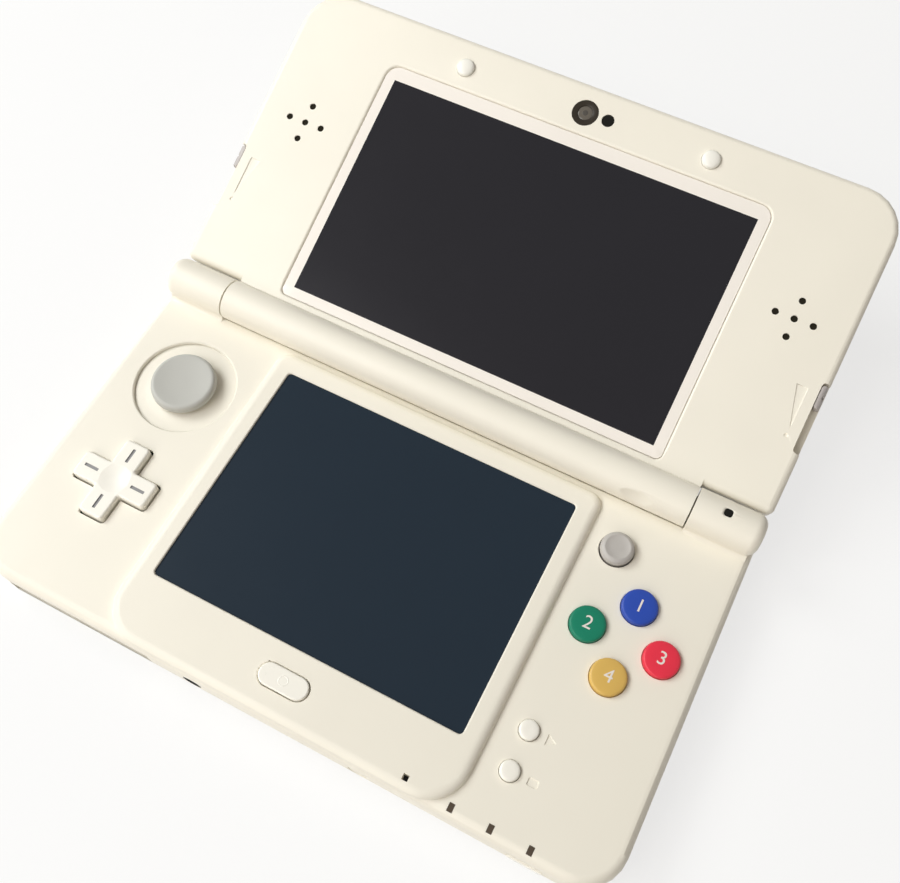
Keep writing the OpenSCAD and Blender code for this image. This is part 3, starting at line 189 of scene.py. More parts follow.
def build_tone():
    """Slow drift of a moulded colour between two near shades."""
    group, g_in, g_out = new_group(
        "colour_drift",
        [("Colour", "NodeSocketColor", (1, 1, 1, 1)), ("Second", "NodeSocketColor", (1, 1, 1, 1)),
         ("Scale", "NodeSocketFloat", 40.0)],
        [("Colour", "NodeSocketColor")])
    texture = scaled_noise(group, g_in, 2.0)
    factor = remap(group, texture.outputs["Fac"], 0.35, 0.65)
    colour = mix_colour(group, factor, g_in.outputs["Colour"], g_in.outputs["Second"])
    group.links.new(colour, g_out.inputs["Colour"])
    return group


def build_gloss():
    """Roughness that wanders a little, as on a surface that hands have touched."""
    group, g_in, g_out = new_group(
        "handled_gloss",
        [("Roughness", "NodeSocketFloat", 0.4), ("Spread", "NodeSocketFloat", 0.1),
         ("Scale", "NodeSocketFloat", 90.0)],
        [("Roughness", "NodeSocketFloat")])
    texture = scaled_noise(group, g_in, 4.0, 0.6)
    swing = remap(group, texture.outputs["Fac"], 0.3, 0.7, -0.5, 0.5)
    swing = math_node(group, "MULTIPLY", swing, g_in.outputs["Spread"])
    rough = math_node(group, "ADD", swing, g_in.outputs["Roughness"])
    group.links.new(rough, g_out.inputs["Roughness"])
    return group


def build_grain():
    """Fine spark-eroded grain of a moulded surface."""
    group, g_in, g_out = new_group(
        "moulded_grain",
        [("Scale", "NodeSocketFloat", 5000.0), ("Depth", "NodeSocketFloat", 0.1)],
        [("Normal", "NodeSocketVector")])
    texture = scaled_noise(group, g_in, 2.0, 0.6)
    bump = group.nodes.new("ShaderNodeBump")
    bump.inputs["Distance"].default_value = 0.05 * MM
    group.links.new(g_in.outputs["Depth"], bump.inputs["Strength"])
    group.links.new(texture.outputs["Fac"], bump.inputs["Height"])
    group.links.new(bump.outputs["Normal"], g_out.inputs["Normal"])
    return group


TONE = build_tone()
GLOSS = build_gloss()
GRAIN = build_grain()


def place_group(tree, group, values):
    node = tree.nodes.new("ShaderNodeGroup")
    node.node_tree = group
    for label, value in values.items():
        node.inputs[label].default_value = value
    return node


def shade(colour, share):
    return tuple(c * share for c in colour[:3]) + (1,)


# Scale and depth of the grain on shells, coloured keys, rubber caps and metal
SHELL_GRAIN = (5200.0, 0.12)
KEY_GRAIN = (6000.0, 0.06)
RUBBER_GRAIN = (4200.0, 0.3)
METAL_GRAIN = (3800.0, 0.2)


def moulded(name, colour, rough, grain=SHELL_GRAIN, drift=0.97, drift_scale=35.0, spread=0.08,
            specular=0.5, metallic=0.0, second=None):
    """Moulded plastic, and with metallic set, a metal finish."""
    material = bpy.data.materials.new(name)
    material.use_nodes = True
    tree = material.node_tree
    shader = tree.nodes["Principled BSDF"]
    tone = place_group(tree, TONE, {"Colour": colour, "Second": second or shade(colour, drift),
                                    "Scale": drift_scale})
    gloss = place_group(tree, GLOSS, {"Roughness": rough, "Spread": spread, "Scale": 90.0})
    tree.links.new(tone.outputs["Colour"], shader.inputs["Base Color"])
    tree.links.new(gloss.outputs["Roughness"], shader.inputs["Roughness"])
    if grain:
        bumps = place_group(tree, GRAIN, {"Scale": grain[0], "Depth": grain[1]})
        tree.links.new(bumps.outputs["Normal"], shader.inputs["Normal"])
    shader.inputs["Specular IOR Level"].default_value = specular
    shader.inputs["Metallic"].default_value = metallic
    return material


def sleek(name, colour, rough, **options):
    """A finish without grain, for glass, windows and printed marks."""
    return moulded(name, colour, rough, grain=None, **options)


ivory = moulded("ivory_shell", srgb(248, 243, 230), 0.42)
ivory_back = moulded("ivory_back", srgb(246, 241, 227), 0.46)
lens_print = sleek("lens_print", srgb(251, 245, 238), 0.22, specular=0.3)
key_white = moulded("key_white", srgb(255, 252, 243), 0.30, grain=(6000.0, 0.05))
touch_film = sleek("touch_film", srgb(32, 44, 56), 0.3, specular=0.12, spread=0.04)
lens_dark = sleek("lens_dark", srgb(37, 36, 41), 0.2, specular=0.12, spread=0.03)
pad_grey = moulded("pad_grey", srgb(193, 193, 188), 0.55, grain=RUBBER_GRAIN)
stick_grey = moulded("stick_grey", srgb(190, 186, 182), 0.5, grain=RUBBER_GRAIN)
blue_key = moulded("blue_key", srgb(36, 74, 178), 0.33, grain=KEY_GRAIN, specular=0.35)
green_key = moulded("green_key", srgb(18, 129, 100), 0.33, grain=KEY_GRAIN, specular=0.25)
red_key = moulded("red_key", srgb(238, 50, 74), 0.33, grain=KEY_GRAIN, specular=0.35)
ochre_key = moulded("ochre_key", srgb(224, 184, 97), 0.33, grain=KEY_GRAIN, specular=0.35)
numeral_white = sleek("numeral_white", srgb(240, 232, 226), 0.4)
dash_grey = sleek("dash_grey", srgb(146, 145, 146), 0.45)
bumper_white = sleek("bumper_white", srgb(250, 248, 240), 0.35)
knob_mauve = moulded("knob_mauve", srgb(186, 180, 178), 0.42, grain=(5200.0, 0.1))
smoke = sleek("smoke_window", srgb(84, 72, 60), 0.25, specular=0.2)
jet = sleek("jet_window", srgb(18, 17, 11), 0.2, specular=0.15)
camera_rim = sleek("camera_rim", srgb(46, 39, 29), 0.3, specular=0.2)
camera_glass = sleek("camera_glass", srgb(97, 90, 80), 0.12, specular=0.4, spread=0.02)
camera_iris = sleek("camera_iris", srgb(74, 69, 62), 0.2, specular=0.4)
# Near-black of the discs behind the sound holes: painted shade inside the holes.
sound_hole_shade = moulded("sound_hole_shade", srgb(36, 33, 24), 0.8, grain=(9000.0, 0.6), specular=0.1)
dark_plastic = moulded("dark_plastic", srgb(34, 34, 36), 0.5, grain=(4600.0, 0.15))
silicone = moulded("silicone", srgb(196, 196, 194), 0.6, grain=(3000.0, 0.1))
battery_wrap = moulded("battery_wrap", srgb(176, 178, 182), 0.35, grain=(2500.0, 0.1), drift=0.93)
board_green = moulded("circuit_board", srgb(26, 92, 56), 0.35, grain=(1500.0, 0.4), drift_scale=420.0,
                      second=srgb(18, 70, 42))
steel = moulded("brushed_steel", srgb(190, 192, 196), 0.28, grain=METAL_GRAIN, metallic=1.0, drift=0.9)
bronze = moulded("hinge_bronze", srgb(120, 104, 88), 0.45, grain=METAL_GRAIN)
amber_film = sleek("amber_film", srgb(186, 122, 48), 0.3)


# Hand tools
def deselect():
    bpy.ops.object.select_all(action="DESELECT")


def take(piece):
    deselect()
    piece.select_set(True)
    bpy.context.view_layer.objects.active = piece


def edit(piece, kind="FACE", select="DESELECT"):
    """Opens the piece for editing with nothing selected, or with all of it."""
    take(piece)
    bpy.ops.object.mode_set(mode="EDIT")
    bpy.ops.mesh.select_mode(type=kind)
    bpy.ops.mesh.select_all(action=select)


def leave():
    bpy.ops.object.mode_set(mode="OBJECT")


def write_place():
    """Writes the place, turn and size of the active object into its mesh."""
    bpy.ops.object.transform_apply(location=True, rotation=True, scale=True)


def added(name):
    """Names the object that an operator has just added and writes its place into its mesh."""
    piece = bpy.context.object
    piece.name = name
    write_place()
    return piece


def pick_faces(piece, test):
    """Selects the faces whose middle (in mm) and normal pass the test."""
    mesh = bmesh.from_edit_mesh(piece.data)
    bpy.ops.mesh.select_all(action="DESELECT")
    for face in mesh.faces:
        if test(face.calc_center_median() / MM, face.normal):
            face.select_set(True)
    bmesh.update_edit_mesh(piece.data)


def pick_edges(piece, test, place):
    """Selects and counts the edges whose ends (in mm, in the frame of place) and face angle pass."""
    back = place.inverted()
    mesh = bmesh.from_edit_mesh(piece.data)
    bpy.ops.mesh.select_all(action="DESELECT")
    count = 0
    for edge in mesh.edges:
        if len(edge.link_faces) != 2:
            continue
        a, b = (back @ v.co / MM for v in edge.verts)
        if test(a, b, math.degrees(edge.calc_face_angle())):
            edge.select_set(True)
            count += 1
    bmesh.update_edit_mesh(piece.data)
    return count


def soften(piece, test, width, steps=2, place=FLAT):
    """Bevels the edges whose two ends and face angle pass the test."""
    edit(piece, "EDGE")
    if pick_edges(piece, test, place):
        bpy.ops.mesh.bevel(offset=width * MM, segments=steps, profile=0.5, affect="EDGES")
    leave()


def soften_line(piece, test, width, steps=2, place=FLAT, sharp=60):
    """Bevels the edges that turn by more than sharp degrees and whose two ends each pass the test."""
    soften(piece, lambda a, b, turn: turn > sharp and test(a) and test(b), width, steps, place)


def near(value, target, slack=0.01):
    return abs(value - target) < slack


def near_circle(p, centre, radius):
    return near(math.hypot(p.x - centre[0], p.y - centre[1]), radius, 0.06)


def weld(piece, flat=0.5):
    """Merges a mesh's loose triangles and takes out the edges on its flat faces."""
    edit(piece, "VERT", "SELECT")
    bpy.ops.mesh.remove_doubles(threshold=0.002 * MM)
    bpy.ops.mesh.dissolve_limited(angle_limit=math.radians(flat))
    leave()


def smooth(piece, angle=32):
    take(piece)
    bpy.ops.object.shade_smooth_by_angle(angle=math.radians(angle))
    lean = piece.modifiers.new("even_light", "WEIGHTED_NORMAL")
    lean.mode = "FACE_AREA"
    lean.weight = 60
    lean.keep_sharp = True
    bpy.ops.object.modifier_apply(modifier=lean.name)


def settle(piece, place=FLAT):
    """Puts the piece in its place and writes that place into its mesh."""
    piece.matrix_world = place @ piece.matrix_world
    take(piece)
    write_place()


def outward(piece):
    edit(piece, select="SELECT")
    bpy.ops.mesh.normals_make_consistent(inside=False)
    leave()


def paint(piece, *materials):
    piece.data.materials.clear()
    for material in materials:
        piece.data.materials.append(material)


def hand_over(piece, body, slot, *stands_for):
    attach(piece, body)
    if stands_for:
        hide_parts(*stands_for)
    deselect()


def finish(piece, material, body, slot, *stands_for, angle=32):
    """Smooths and paints a piece and hands it over."""
    smooth(piece, angle)
    paint(piece, material)
    hand_over(piece, body, slot, *stands_for)


def finish_on_lid(piece, material, slot, *stands_for, angle=40):
    """The same for a piece drawn in the lid's frame, which it first moves to the lid."""
    settle(piece, LID)
    finish(piece, material, "lid", slot, *stands_for, angle=angle)


def turned(name, centre, steps, sides=72):
    """Round piece: a disc pulled up and scaled through steps of (radius, height)."""
    x, y = centre[0] * MM, centre[1] * MM
    radius, height = steps[0]
    deselect()
    bpy.ops.mesh.primitive_circle_add(vertices=sides, radius=radius * MM, fill_type="NGON",
                                      location=(x, y, height * MM))
    piece = added(name)
    edit(piece, select="SELECT")
    for r, z in steps[1:]:
        bpy.ops.mesh.extrude_region_move(TRANSFORM_OT_translate={"value": (0, 0, (z - height) * MM)})
        bpy.ops.transform.resize(value=(r / radius, r / radius, 1), center_override=(x, y, z * MM))
        radius, height = r, z
    leave()
    outward(piece)
    return piece


def block(name, middle, size):
    """Cuboid of that size around that middle."""
    deselect()
    bpy.ops.mesh.primitive_cube_add(size=1, location=tuple(v * MM for v in middle),
                                    scale=tuple(v * MM for v in size))
    return added(name)


def plate(name, x0, x1, y0, y1, z0, z1, front_r, back_r, rim=0.0, rim_steps=3, corner_steps=8):
    """Flat piece with rounded corners and a softened top rim."""
    piece = block(name, ((x0 + x1) / 2, (y0 + y1) / 2, (z0 + z1) / 2), (x1 - x0, y1 - y0, z1 - z0))
    for radius, side in ((front_r, y0), (back_r, y1)):
        if radius:
            soften(piece, lambda a, b, turn: abs(a.z - b.z) > 0.01 and near(a.y, side), radius, corner_steps)
    if rim:
        soften(piece, lambda a, b, turn: min(a.z, b.z) > z1 - 0.001, rim, rim_steps)
    return piece


def prism(name, corners, z0, z1):
    """Upright prism over three corners."""
    deselect()
    bpy.ops.mesh.primitive_circle_add(vertices=3, radius=MM, fill_type="NGON", location=(0, 0, 0))
    piece = added(name)
    for vertex, corner in zip(piece.data.vertices, corners):
        vertex.co = Vector((corner[0] * MM, corner[1] * MM, z0 * MM))
    edit(piece, select="SELECT")
    bpy.ops.mesh.extrude_region_move(TRANSFORM_OT_translate={"value": (0, 0, (z1 - z0) * MM)})
    leave()
    outward(piece)
    return piece


def cut(piece, *tools):
    """Cuts the tools out of the piece and throws them away."""
    for tool in tools:
        take(piece)
        cutter = piece.modifiers.new("cut", "BOOLEAN")
        cutter.operation = "DIFFERENCE"
        cutter.solver = "EXACT"
        cutter.object = tool
        bpy.ops.object.modifier_apply(modifier=cutter.name)
        bpy.data.objects.remove(tool)


def copy_node(node, name):
    """A copy of a CAD node's mesh, welded, to be finished by hand."""
    piece = nodes[node].copy()
    piece.data = nodes[node].data.copy()
    piece.name = name
    piece.parent = None
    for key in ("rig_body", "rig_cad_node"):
        if key in piece:
            del piece[key]
    bpy.context.scene.collection.objects.link(piece)
    weld(piece)
    return piece


# Shells
def face_place(angle):
    """Middle of the face button that lies that many degrees round from the right one."""
    turn = math.radians(angle)
    return (FACE[0] + FACE_PITCH * math.cos(turn), FACE[1] + FACE_PITCH * math.sin(turn))


def on_outline(p, back=False):
    """True at the sides, the front and the front corners of the base, and with back set, at its back."""
    dx, dy = abs(p.x) - (SIDE - CORNER_R), CORNER_R - FRONT - p.y
    corner = dx > 0 and dy > 0 and near(math.hypot(dx, dy), CORNER_R, 0.1)
    return corner or abs(p.x) > SIDE - 0.1 or p.y < 0.1 - FRONT or (back and p.y > FRONT - 0.1)


def make_top_shell():
    piece = copy_node("top_shell", "deck_shell")
    # Rims of the round openings: middle, radius, and width of the rounding
    rims = [(PAD, 11.5, 0.12), (PAD, 11.2, 0.12)]
    rims += [(face_place(angle), 3.8, 0.15) for angle in (0, 90, 180, 270)]
    rims += [(STICK, 3.7, 0.2), ((MENU_X, START_Y), 2.1, 0.12), ((MENU_X, SELECT_Y), 2.1, 0.12)]
    for centre, radius, width in rims:
        soften_line(piece, lambda p: DECK - 0.35 < p.z < DECK + 0.02 and near_circle(p, centre, radius),
                    width, sharp=30)
    # Rim of the direction pad's opening
    soften_line(piece, lambda p: near(p.z, DECK) and near(p.x, CROSS[0], 9.5) and near(p.y, CROSS[1], 9.5),
                0.15)
    # Rims of the touch window and of the home button's opening
    soften_line(piece, lambda p: near(p.z, PANEL) and abs(p.x) < 34.8 and p.y > -28, 0.36, 4)
    soften_line(piece, lambda p: near(p.z, PANEL) and abs(p.x) < 6 and near(p.y, HOME_Y, 3), 0.3, 3)
    # Ends of the lugs beside the barrel
    soften_line(piece, lambda p: near(abs(p.x), LUG_END, 0.05) and p.z > DECK - 0.4
                and math.hypot(p.y - HINGE_Y, p.z - HINGE_Z) > BARREL_R - 0.2, 0.1, sharp=50)
    # The right lug is parted on both sides of its light, so that the light's hole shades evenly
    for x in (61.3, 64.1):
        edit(piece)
        pick_faces(piece, lambda c, n: c.x > 56 and c.z > DECK - 0.2 and c.y > HINGE_Y - 7)
        bpy.ops.mesh.bisect(plane_co=(x * MM, 0, 0), plane_no=(1, 0, 0))
        leave()
    # Lower rim along the joint with the housing
    soften_line(piece, lambda p: near(p.z, SHELL_RIM) and on_outline(p), 0.15)
    # Sunk arrow and bar beside the two small round buttons
    floor, over = DECK - DECK_SINK, DECK + 1
    arrow = prism("arrow_cut", [(51.0, START_Y), (49.1, START_Y + 1.05), (49.1, START_Y - 1.05)], floor, over)
    bar = plate("bar_cut", 49.1, 51.1, SELECT_Y - 0.75, SELECT_Y + 0.75, floor, over, 0.25, 0.25,
                corner_steps=3)
    cut(piece, arrow, bar)
    soften_line(piece, lambda p: near(p.z, DECK) and 48.9 < p.x < 51.3
                and (near(p.y, START_Y, 1.3) or near(p.y, SELECT_Y, 1.0)), 0.1)
    finish(piece, ivory, "base", "ivory_shell", "top_shell")


def make_housing():
    piece = copy_node("bottom_housing", "lower_housing")
    soften_line(piece, lambda p: near(p.z, HOUSING_RIM) and on_outline(p), 0.15)
    soften_line(piece, lambda p: near(p.z, HOUSING_FOOT) and on_outline(p, back=True), 0.15)
    finish(piece, ivory_back, "base", "ivory_shell", "bottom_housing")


def make_bezel():
    piece = copy_node("lid_bezel", "inner_bezel")
    # Rim of the lens pocket
    soften_line(piece, lambda p: near(p.z, 0) and abs(p.x) < LENS_X + 0.3
                and LENS_Y[0] - 0.25 < p.y < LENS_Y[1] + 0.25, 0.5, 4, LID)
    # Ends of the barrel
    soften_line(piece, lambda p: near(abs(p.x), BARREL_END) and near(math.hypot(p.y, p.z), BARREL_R, 0.05),
                0.12, 2, LID)
    # Sunk wedge and dot beside each edge slider
    for side in (-1, 1):
        outer, inner = side * 66.9, side * 64.6
        wedge = prism("wedge_cut", [(outer, 22.9), (outer, 31.9), (inner, 31.9)], -MARK_SINK, 1)
        dot = turned("dot_cut", (side * 66.8, 21.25), [(0.4, -MARK_SINK), (0.4, 1)], 24)
        for tool in (wedge, dot):
            settle(tool, LID)
        cut(piece, wedge, dot)
    soften_line(piece, lambda p: near(p.z, 0) and 64.4 < abs(p.x) < 67.3 and 20.7 < p.y < 32.2,
                0.12, 2, LID)
    finish(piece, ivory, "lid", "ivory_shell", "lid_bezel")


def make_plain_shell(node, name, body):
    """A shell that needs no work beyond its finish."""
    finish(copy_node(node, name), ivory_back, body, "ivory_shell", node)


def make_edge_buttons():
    """The four shoulder buttons in the base's back edge."""
    for node in ("left_shoulder_button", "right_shoulder_button", "left_trigger", "right_trigger"):
        piece = copy_node(node, node + "_cap")
        soften_line(piece, lambda p: p.y > 39.5, 0.35, 3)
        finish(piece, ivory_back, node, "ivory_shell", node)


# Pieces of the lid
def make_upper_lens():
    """Clear lens, printed pale around the screen's dark window."""
    piece = plate("screen_lens", -LENS_X, LENS_X, *LENS_Y, LENS_TOP - 0.6, LENS_TOP, 1.4, 3, rim=0.12,
                  rim_steps=2)
    paint(piece, lens_print, lens_dark)
    edit(piece)
    lines = [((x, 0, 0), (1, 0, 0)) for x in (-WINDOW_X, WINDOW_X)]
    lines += [((0, y, 0), (0, 1, 0)) for y in WINDOW_Y]
    for place, way in lines:
        pick_faces(piece, lambda c, n: c.z > LENS_TOP - 0.01 and n.z > 0.9)
        bpy.ops.mesh.bisect(plane_co=tuple(v * MM for v in place), plane_no=way)
    pick_faces(piece, lambda c, n: c.z > LENS_TOP - 0.01 and abs(c.x) < WINDOW_X
               and WINDOW_Y[0] < c.y < WINDOW_Y[1])
    piece.active_material_index = 1
    bpy.ops.object.material_slot_assign()
    leave()
    settle(piece, LID)
    smooth(piece, 40)
    hand_over(piece, "lid", "screen_lens", "upper_lens")


def make_bumpers():
    """Two round bumpers; the left one stands for the CAD node that holds both."""
    steps = [(2.05, -0.38), (2.05, 0.25), (1.98, 0.5), (1.78, 0.7), (1.42, 0.86), (0.92, 0.96), (0.42, 1.0)]
    for side, name, stands_for in ((-1, "left_bumper", ["lid_bumpers"]), (1, "right_bumper", [])):
        piece = turned(name, (side * BUMPER_X, CAMERA_V), steps, 48)
        finish_on_lid(piece, bumper_white, "white_key", *stands_for, angle=50)


def make_inner_camera():
    """Dark rim, window and iris of the inner camera, and the lamp beside it."""
    rings = (("camera_ring", camera_rim, ["inner_camera"], [
                 (2.9, -1.3), (2.9, -0.06), (2.84, 0.02), (1.74, 0.04), (1.64, -0.02), (1.64, -0.14)]),
             ("camera_window", camera_glass, [], [
                 (1.62, -0.6), (1.62, -0.15), (1.5, -0.1), (1.0, -0.07), (0.4, -0.06)]),
             ("camera_pupil", camera_iris, [], [(0.62, -0.5), (0.62, -0.05), (0.5, -0.02), (0.2, -0.01)]))
    for name, material, stands_for, steps in rings:
        piece = turned(name, (0, CAMERA_V), steps, 64)
        finish_on_lid(piece, material, "dark_plastic", *stands_for)
    lamp = turned("lamp_window", (LAMP_X, CAMERA_V + 0.1), [(1.35, -1.4), (1.35, -0.12), (1.25, -0.03)], 40)
    finish_on_lid(lamp, jet, "dark_plastic", "infrared_lamp")


def make_sound_hole_shade():
    """Near-black discs close behind the sound holes: painted shade, so that the holes read dark."""
    for side, name in ((-1, "left_sound_hole_shade"), (1, "right_sound_hole_shade")):
        spots = []
        for across, up in ((0, 0), (1, 0), (-1, 0), (0, 1), (0, -1)):
            place = (side * SOUND[0] + across * SOUND_PITCH, SOUND[1] + up * SOUND_PITCH)
            spots.append(turned(name, place, [(0.74, -0.6), (0.74, -0.26), (0.7, -0.22)], 24))
        take(spots[0])
        for spot in spots:
            spot.select_set(True)
        bpy.ops.object.join()
        finish_on_lid(spots[0], sound_hole_shade, "dark_plastic")


def make_knobs():
    for node, name in (("volume_slider", "volume_knob"), ("depth_slider", "depth_knob")):
        piece = copy_node(node, name)
        soften_line(piece, lambda p: abs(p.x) > 69.3 and p.z > -2.8, 0.15, 2, LID)
        finish(piece, knob_mauve, node, "slider_knob", node)


# Controls
def make_touch_panel():
    piece = plate("touch_window", -36.2, 36.2, -27.75, 27.55, TOUCH_TOP - 1.1, TOUCH_TOP, 0, 0)
    paint(piece, touch_film)
    edit(piece)
    pick_faces(piece, lambda c, n: n.z > 0.9)
    bpy.ops.mesh.inset(thickness=1.5 * MM)
    bpy.ops.mesh.inset(thickness=0.35 * MM, depth=-0.03 * MM)
    leave()
    smooth(piece, 20)
    hand_over(piece, "base", "touch_glass", "touch_panel")


def make_circle_pad():
    skirt = turned("pad_skirt", PAD, [
        (13.6, 8.9), (13.6, 9.3), (12.4, 9.31), (12.4, 9.86), (12.3, 9.9), (9.4, 9.92), (8.6, 9.96),
        (7.6, 10.05), (6.4, 10.15)], 96)
    finish(skirt, ivory, "circle_pad", "ivory_shell", "circle_pad", angle=40)
    cap = turned("pad_cap", PAD, [
        (5.7, 10.0), (5.7, 10.7), (5.85, 10.85), (6.7, 11.0), (7.05, 11.15), (7.2, 11.4), (7.2, 11.8),
        (7.15, 12.15), (7.05, 12.45), (6.9, 12.7), (6.7, 12.88), (6.45, 12.98), (6.2, 12.99), (5.9, 12.95),
        (5.0, 12.8), (3.6, 12.64), (2.0, 12.55), (0.8, 12.52)], 96)
    finish(cap, pad_grey, "circle_pad", "pad_rubber", angle=50)


def make_direction_pad():
    """Cross key: a block pulled out into four arms, with a dish in its middle and a dash on each arm."""
    x, y = CROSS
    ways = ((1, 0), (-1, 0), (0, 1), (0, -1))
    piece = block("cross_key", (x, y, 10.6), (2 * ARM_HALF, 2 * ARM_HALF, 3.2))
    for way in ways:
        edit(piece)
        pick_faces(piece, lambda c, n: n.x * way[0] + n.y * way[1] > 0.9
                   and (c.x - x) * way[0] + (c.y - y) * way[1] > ARM_HALF - 0.01
                   and abs((c.x - x) * way[1] + (c.y - y) * way[0]) < 0.1)
        pull = (ARM_REACH - ARM_HALF) * MM
        bpy.ops.mesh.extrude_region_move(
            TRANSFORM_OT_translate={"value": (way[0] * pull, way[1] * pull, 0)})
        leave()

    def away(p):
        return max(abs(p.x - x), abs(p.y - y))

    # Corners at the ends of the arms, the four inner corners, and the top rim
    soften(piece, lambda a, b, turn: abs(a.z - b.z) > 1 and away(a) > ARM_REACH - 0.1, 0.9, 5)
    soften(piece, lambda a, b, turn: abs(a.z - b.z) > 1 and away(a) < ARM_HALF + 0.05 and turn > 60, 0.5, 3)
    soften(piece, lambda a, b, turn: min(a.z, b.z) > PANEL - 0.001 and turn > 60, 0.55, 5)
    dish = turned("dish_cut", CROSS, [(r, PANEL + z) for r, z in (
        (0.4, -0.24), (0.9, -0.225), (1.4, -0.195), (1.9, -0.15), (2.3, -0.105), (2.65, -0.068),
        (2.95, -0.036), (3.2, -0.014), (3.3, 0.004), (3.4, 2))], 60)
    slots = []
    for way in ways:
        w, d = DASH_HALF if way[0] else DASH_HALF[::-1]
        cx, cy = x + way[0] * DASH_AT, y + way[1] * DASH_AT
        slots.append(plate("slot", cx - w, cx + w, cy - d, cy + d, PANEL - MARK_SINK, PANEL + 1, 0.1, 0.1,
                           corner_steps=2))
    cut(piece, dish, *slots)
    paint(piece, key_white, dash_grey)
    for face in piece.data.polygons:
        centre = face.center / MM
        beside = min(abs(centre.x - x), abs(centre.y - y))
        in_dash = near(away(centre), DASH_AT, DASH_HALF[0] + 0.05) and beside < DASH_HALF[1] + 0.01
        if in_dash and PANEL - 0.25 < centre.z < PANEL - 0.05:
            face.material_index = 1
    smooth(piece)
    hand_over(piece, "direction_pad", "white_key", "direction_pad")


def make_stick():
    piece = turned("stick_cap", STICK, [
        (4.0, 8.9), (4.0, 9.15), (3.3, 9.2), (3.3, 10.6), (3.42, 10.9), (3.5, 11.2), (3.5, 11.85),
        (3.44, 12.12), (3.28, 12.34), (3.02, 12.52), (2.76, 12.64), (2.62, 12.68), (2.48, 12.66),
        (2.36, 12.6), (1.2, 12.56), (0.5, 12.55)])
    finish(piece, stick_grey, "control_stick", "pad_rubber", "control_stick", angle=50)


def make_numeral(text, x, y, z, name, body):
    deselect()
    bpy.ops.object.text_add(location=(x * MM, y * MM, z * MM))
    piece = bpy.context.object
    piece.name = name
    piece.data.body = text
    piece.data.size = NUMERAL_SIZE * MM
    piece.data.extrude = 0.05 * MM
    piece.data.resolution_u = 6
    piece.data.align_x = "CENTER"
    piece.data.align_y = "CENTER"
    bpy.ops.object.convert(target="MESH")
    weld(piece, 0.2)
    settle(piece)
    paint(piece, numeral_white)
    hand_over(piece, body, "white_key")


def make_face_buttons():
    keys = (("top_button", 90, blue_key, "blue_key", "1"), ("left_button", 180, green_key, "green_key", "2"),
            ("right_button", 0, red_key, "red_key", "3"), ("bottom_button", 270, ochre_key, "ochre_key", "4"))
    top = DECK + 1.2
    for body, angle, colour, slot, text in keys:
        x, y = face_place(angle)
        piece = turned(body + "_cap", (x, y), [
            (4.3, 8.75), (4.3, 9.2), (3.7, 9.3), (3.7, top - 0.55), (3.66, top - 0.38), (3.55, top - 0.24),
            (3.36, top - 0.14), (3.1, top - 0.08), (2.4, top - 0.03), (1.2, top)])
        finish(piece, colour, body, slot, body, angle=50)
        make_numeral(text, x, y, top, body + "_numeral", body)


def make_menu_buttons():
    """The two small round buttons at the lower right."""
    top = DECK + 0.8
    for body, y in (("start_button", START_Y), ("select_button", SELECT_Y)):
        piece = turned(body + "_cap", (MENU_X, y), [
            (2.6, 8.75), (2.6, 9.2), (2.0, 9.3), (2.0, top - 0.45), (1.95, top - 0.27), (1.8, top - 0.12),
            (1.5, top - 0.04), (0.8, top)], 48)
        finish(piece, key_white, body, "white_key", body, angle=50)


def make_home_button():
    """Long button under the touch window, with a flat ring on it."""
    top = PANEL + 0.5
    piece = plate("home_cap", -5.35, 5.35, HOME_Y - 2.3, HOME_Y + 2.3, PANEL - 1.8, top, 2.29, 2.29,
                  rim=0.35, rim_steps=4, corner_steps=16)
    finish(piece, key_white, "home_button", "white_key", "home_button", angle=40)
    middle = (0, HOME_Y * MM, top * MM)
    deselect()
    bpy.ops.mesh.primitive_torus_add(location=middle, major_segments=48, minor_segments=8,
                                     major_radius=0.95 * MM, minor_radius=0.13 * MM)
    ring = bpy.context.object
    ring.name = "home_ring"
    edit(ring, select="SELECT")
    bpy.ops.transform.resize(value=(1, 1, 0.25), center_override=middle)
    leave()
    settle(ring)
    finish(ring, key_white, "home_button", "white_key", angle=60)


# Finishes of the CAD nodes that stay
def finish_nodes():
    finishes = (
        (dark_plastic, "lower_display upper_display game_card_slot audio_jack charging_port memory_card "
                       "microphone circle_pad_base stick_sensor shoulder_switches speakers"),
        (steel, "shoulder_pins shoulder_springs housing_screws cover_screws lid_screws cross_pivot "
                "stick_gimbal"),
        (jet, "infrared_window notification_light outer_cameras"),
        (board_green, "main_board slider_boards"),
        (bronze, "hinge_cartridge hinge_bush"),
        (silicone, "control_mats pad_carriage"),
        (battery_wrap, "battery"),
        (smoke, "status_lights"),
        (amber_film, "display_ribbon"),
        (key_white, "power_button"),
        (ivory_back, "stylus"),
    )
    for material, names in finishes:
        for node in names.split():
            slots = nodes[node].material_slots
            if not slots:
                nodes[node].data.materials.append(material)
            for place in slots:
                place.material = material


make_top_shell()
make_housing()
make_plain_shell("bottom_cover_plate", "base_cover", "base")
make_bezel()
make_plain_shell("lid_housing", "rear_housing", "lid")
make_plain_shell("lid_cover_plate", "lid_cover", "lid")
make_upper_lens()
make_bumpers()
make_inner_camera()
make_sound_hole_shade()
make_knobs()
make_touch_panel()
make_circle_pad()
make_direction_pad()
make_stick()
make_face_buttons()
make_menu_buttons()
make_home_button()
make_edge_buttons()
finish_nodes()


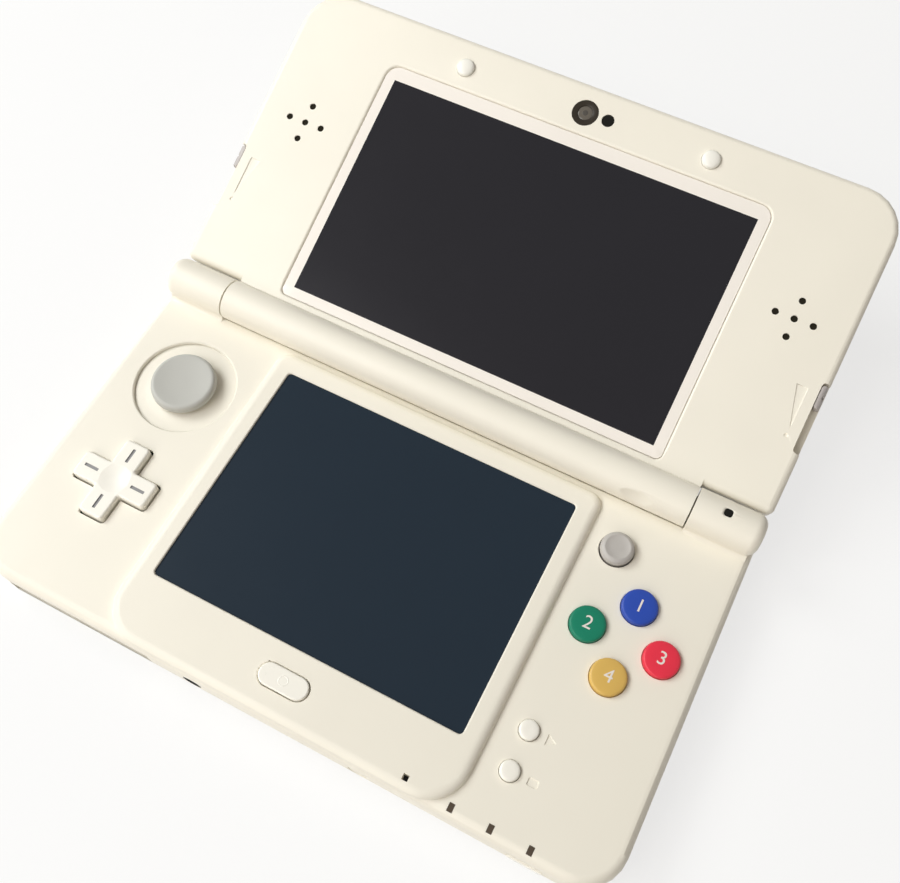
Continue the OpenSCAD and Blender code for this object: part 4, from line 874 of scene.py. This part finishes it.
# Floor, light and camera, in metres
def make_floor():
    """Near-white paper that glows where it is seen directly."""
    deselect()
    bpy.ops.mesh.primitive_plane_add(size=6, location=(0, 0, 0))
    floor = added("studio_floor")
    material = bpy.data.materials.new("floor_paper")
    material.use_nodes = True
    tree = material.node_tree
    shader = tree.nodes["Principled BSDF"]
    shader.inputs["Roughness"].default_value = 0.9
    shader.inputs["Specular IOR Level"].default_value = 0.1
    tone = place_group(tree, TONE, {"Colour": srgb(250, 250, 249), "Second": srgb(247, 247, 246),
                                    "Scale": 3.0})
    tree.links.new(tone.outputs["Colour"], shader.inputs["Base Color"])
    glow = tree.nodes.new("ShaderNodeEmission")
    glow.inputs["Strength"].default_value = 1.0
    share = math_node(tree, "MULTIPLY", seen_directly(tree), 0.72)
    mix = tree.nodes.new("ShaderNodeMixShader")
    tree.links.new(share, mix.inputs[0])
    tree.links.new(shader.outputs[0], mix.inputs[1])
    tree.links.new(glow.outputs[0], mix.inputs[2])
    tree.links.new(mix.outputs[0], tree.nodes["Material Output"].inputs["Surface"])
    paint(floor, material)


def make_world():
    """A dim warm fill from the room, and plain white where the world itself is seen."""
    world = bpy.data.worlds.new("studio_world")
    bpy.context.scene.world = world
    world.use_nodes = True
    tree = world.node_tree
    background = tree.nodes["Background"]
    seen = seen_directly(tree)
    colour = mix_colour(tree, seen, (1.0, 0.9, 0.78, 1), (1, 1, 1, 1))
    tree.links.new(colour, background.inputs["Color"])
    strength = remap(tree, seen, 0.0, 1.0, 0.2, 1.0)
    tree.links.new(strength, background.inputs["Strength"])


def make_lamp(name, place, aim, size, power, colour):
    deselect()
    bpy.ops.object.light_add(type="AREA", location=place)
    lamp = bpy.context.object
    lamp.name = name
    lamp.data.shape = "DISK"
    lamp.data.size = size
    lamp.data.energy = power
    lamp.data.color = colour
    lamp.rotation_euler = (Vector(aim) - Vector(place)).to_track_quat("-Z", "Y").to_euler()


def make_camera():
    """The photo's camera, as solved from points of the photo."""
    deselect()
    bpy.ops.object.camera_add(location=(0.050092, -0.058974, 0.204868),
                              rotation=tuple(math.radians(a) for a in (26.3485, 0.0326, 27.2887)))
    camera = bpy.context.object
    camera.data.sensor_fit = "HORIZONTAL"
    camera.data.sensor_width = 36
    camera.data.lens = 40.587
    camera.data.shift_x = -0.0045
    camera.data.shift_y = 0.0089
    camera.data.clip_start = 0.005
    bpy.context.scene.camera = camera


make_floor()
make_world()
make_lamp("key_lamp", (-0.75, 0.05, 0.7), (0.0, 0.03, 0.02), 0.5, 5.4, (0.97, 1.0, 0.98))
make_lamp("top_lamp", (-0.45, -0.45, 0.8), (0.0, 0.0, 0.02), 0.6, 3.8, (1.0, 1.0, 1.0))
make_lamp("front_lamp", (-0.15, -0.9, 0.5), (0.0, 0.0, 0.02), 0.7, 2.6, (1.0, 0.94, 0.86))
make_camera()
bpy.context.scene.view_settings.view_transform = "Standard"
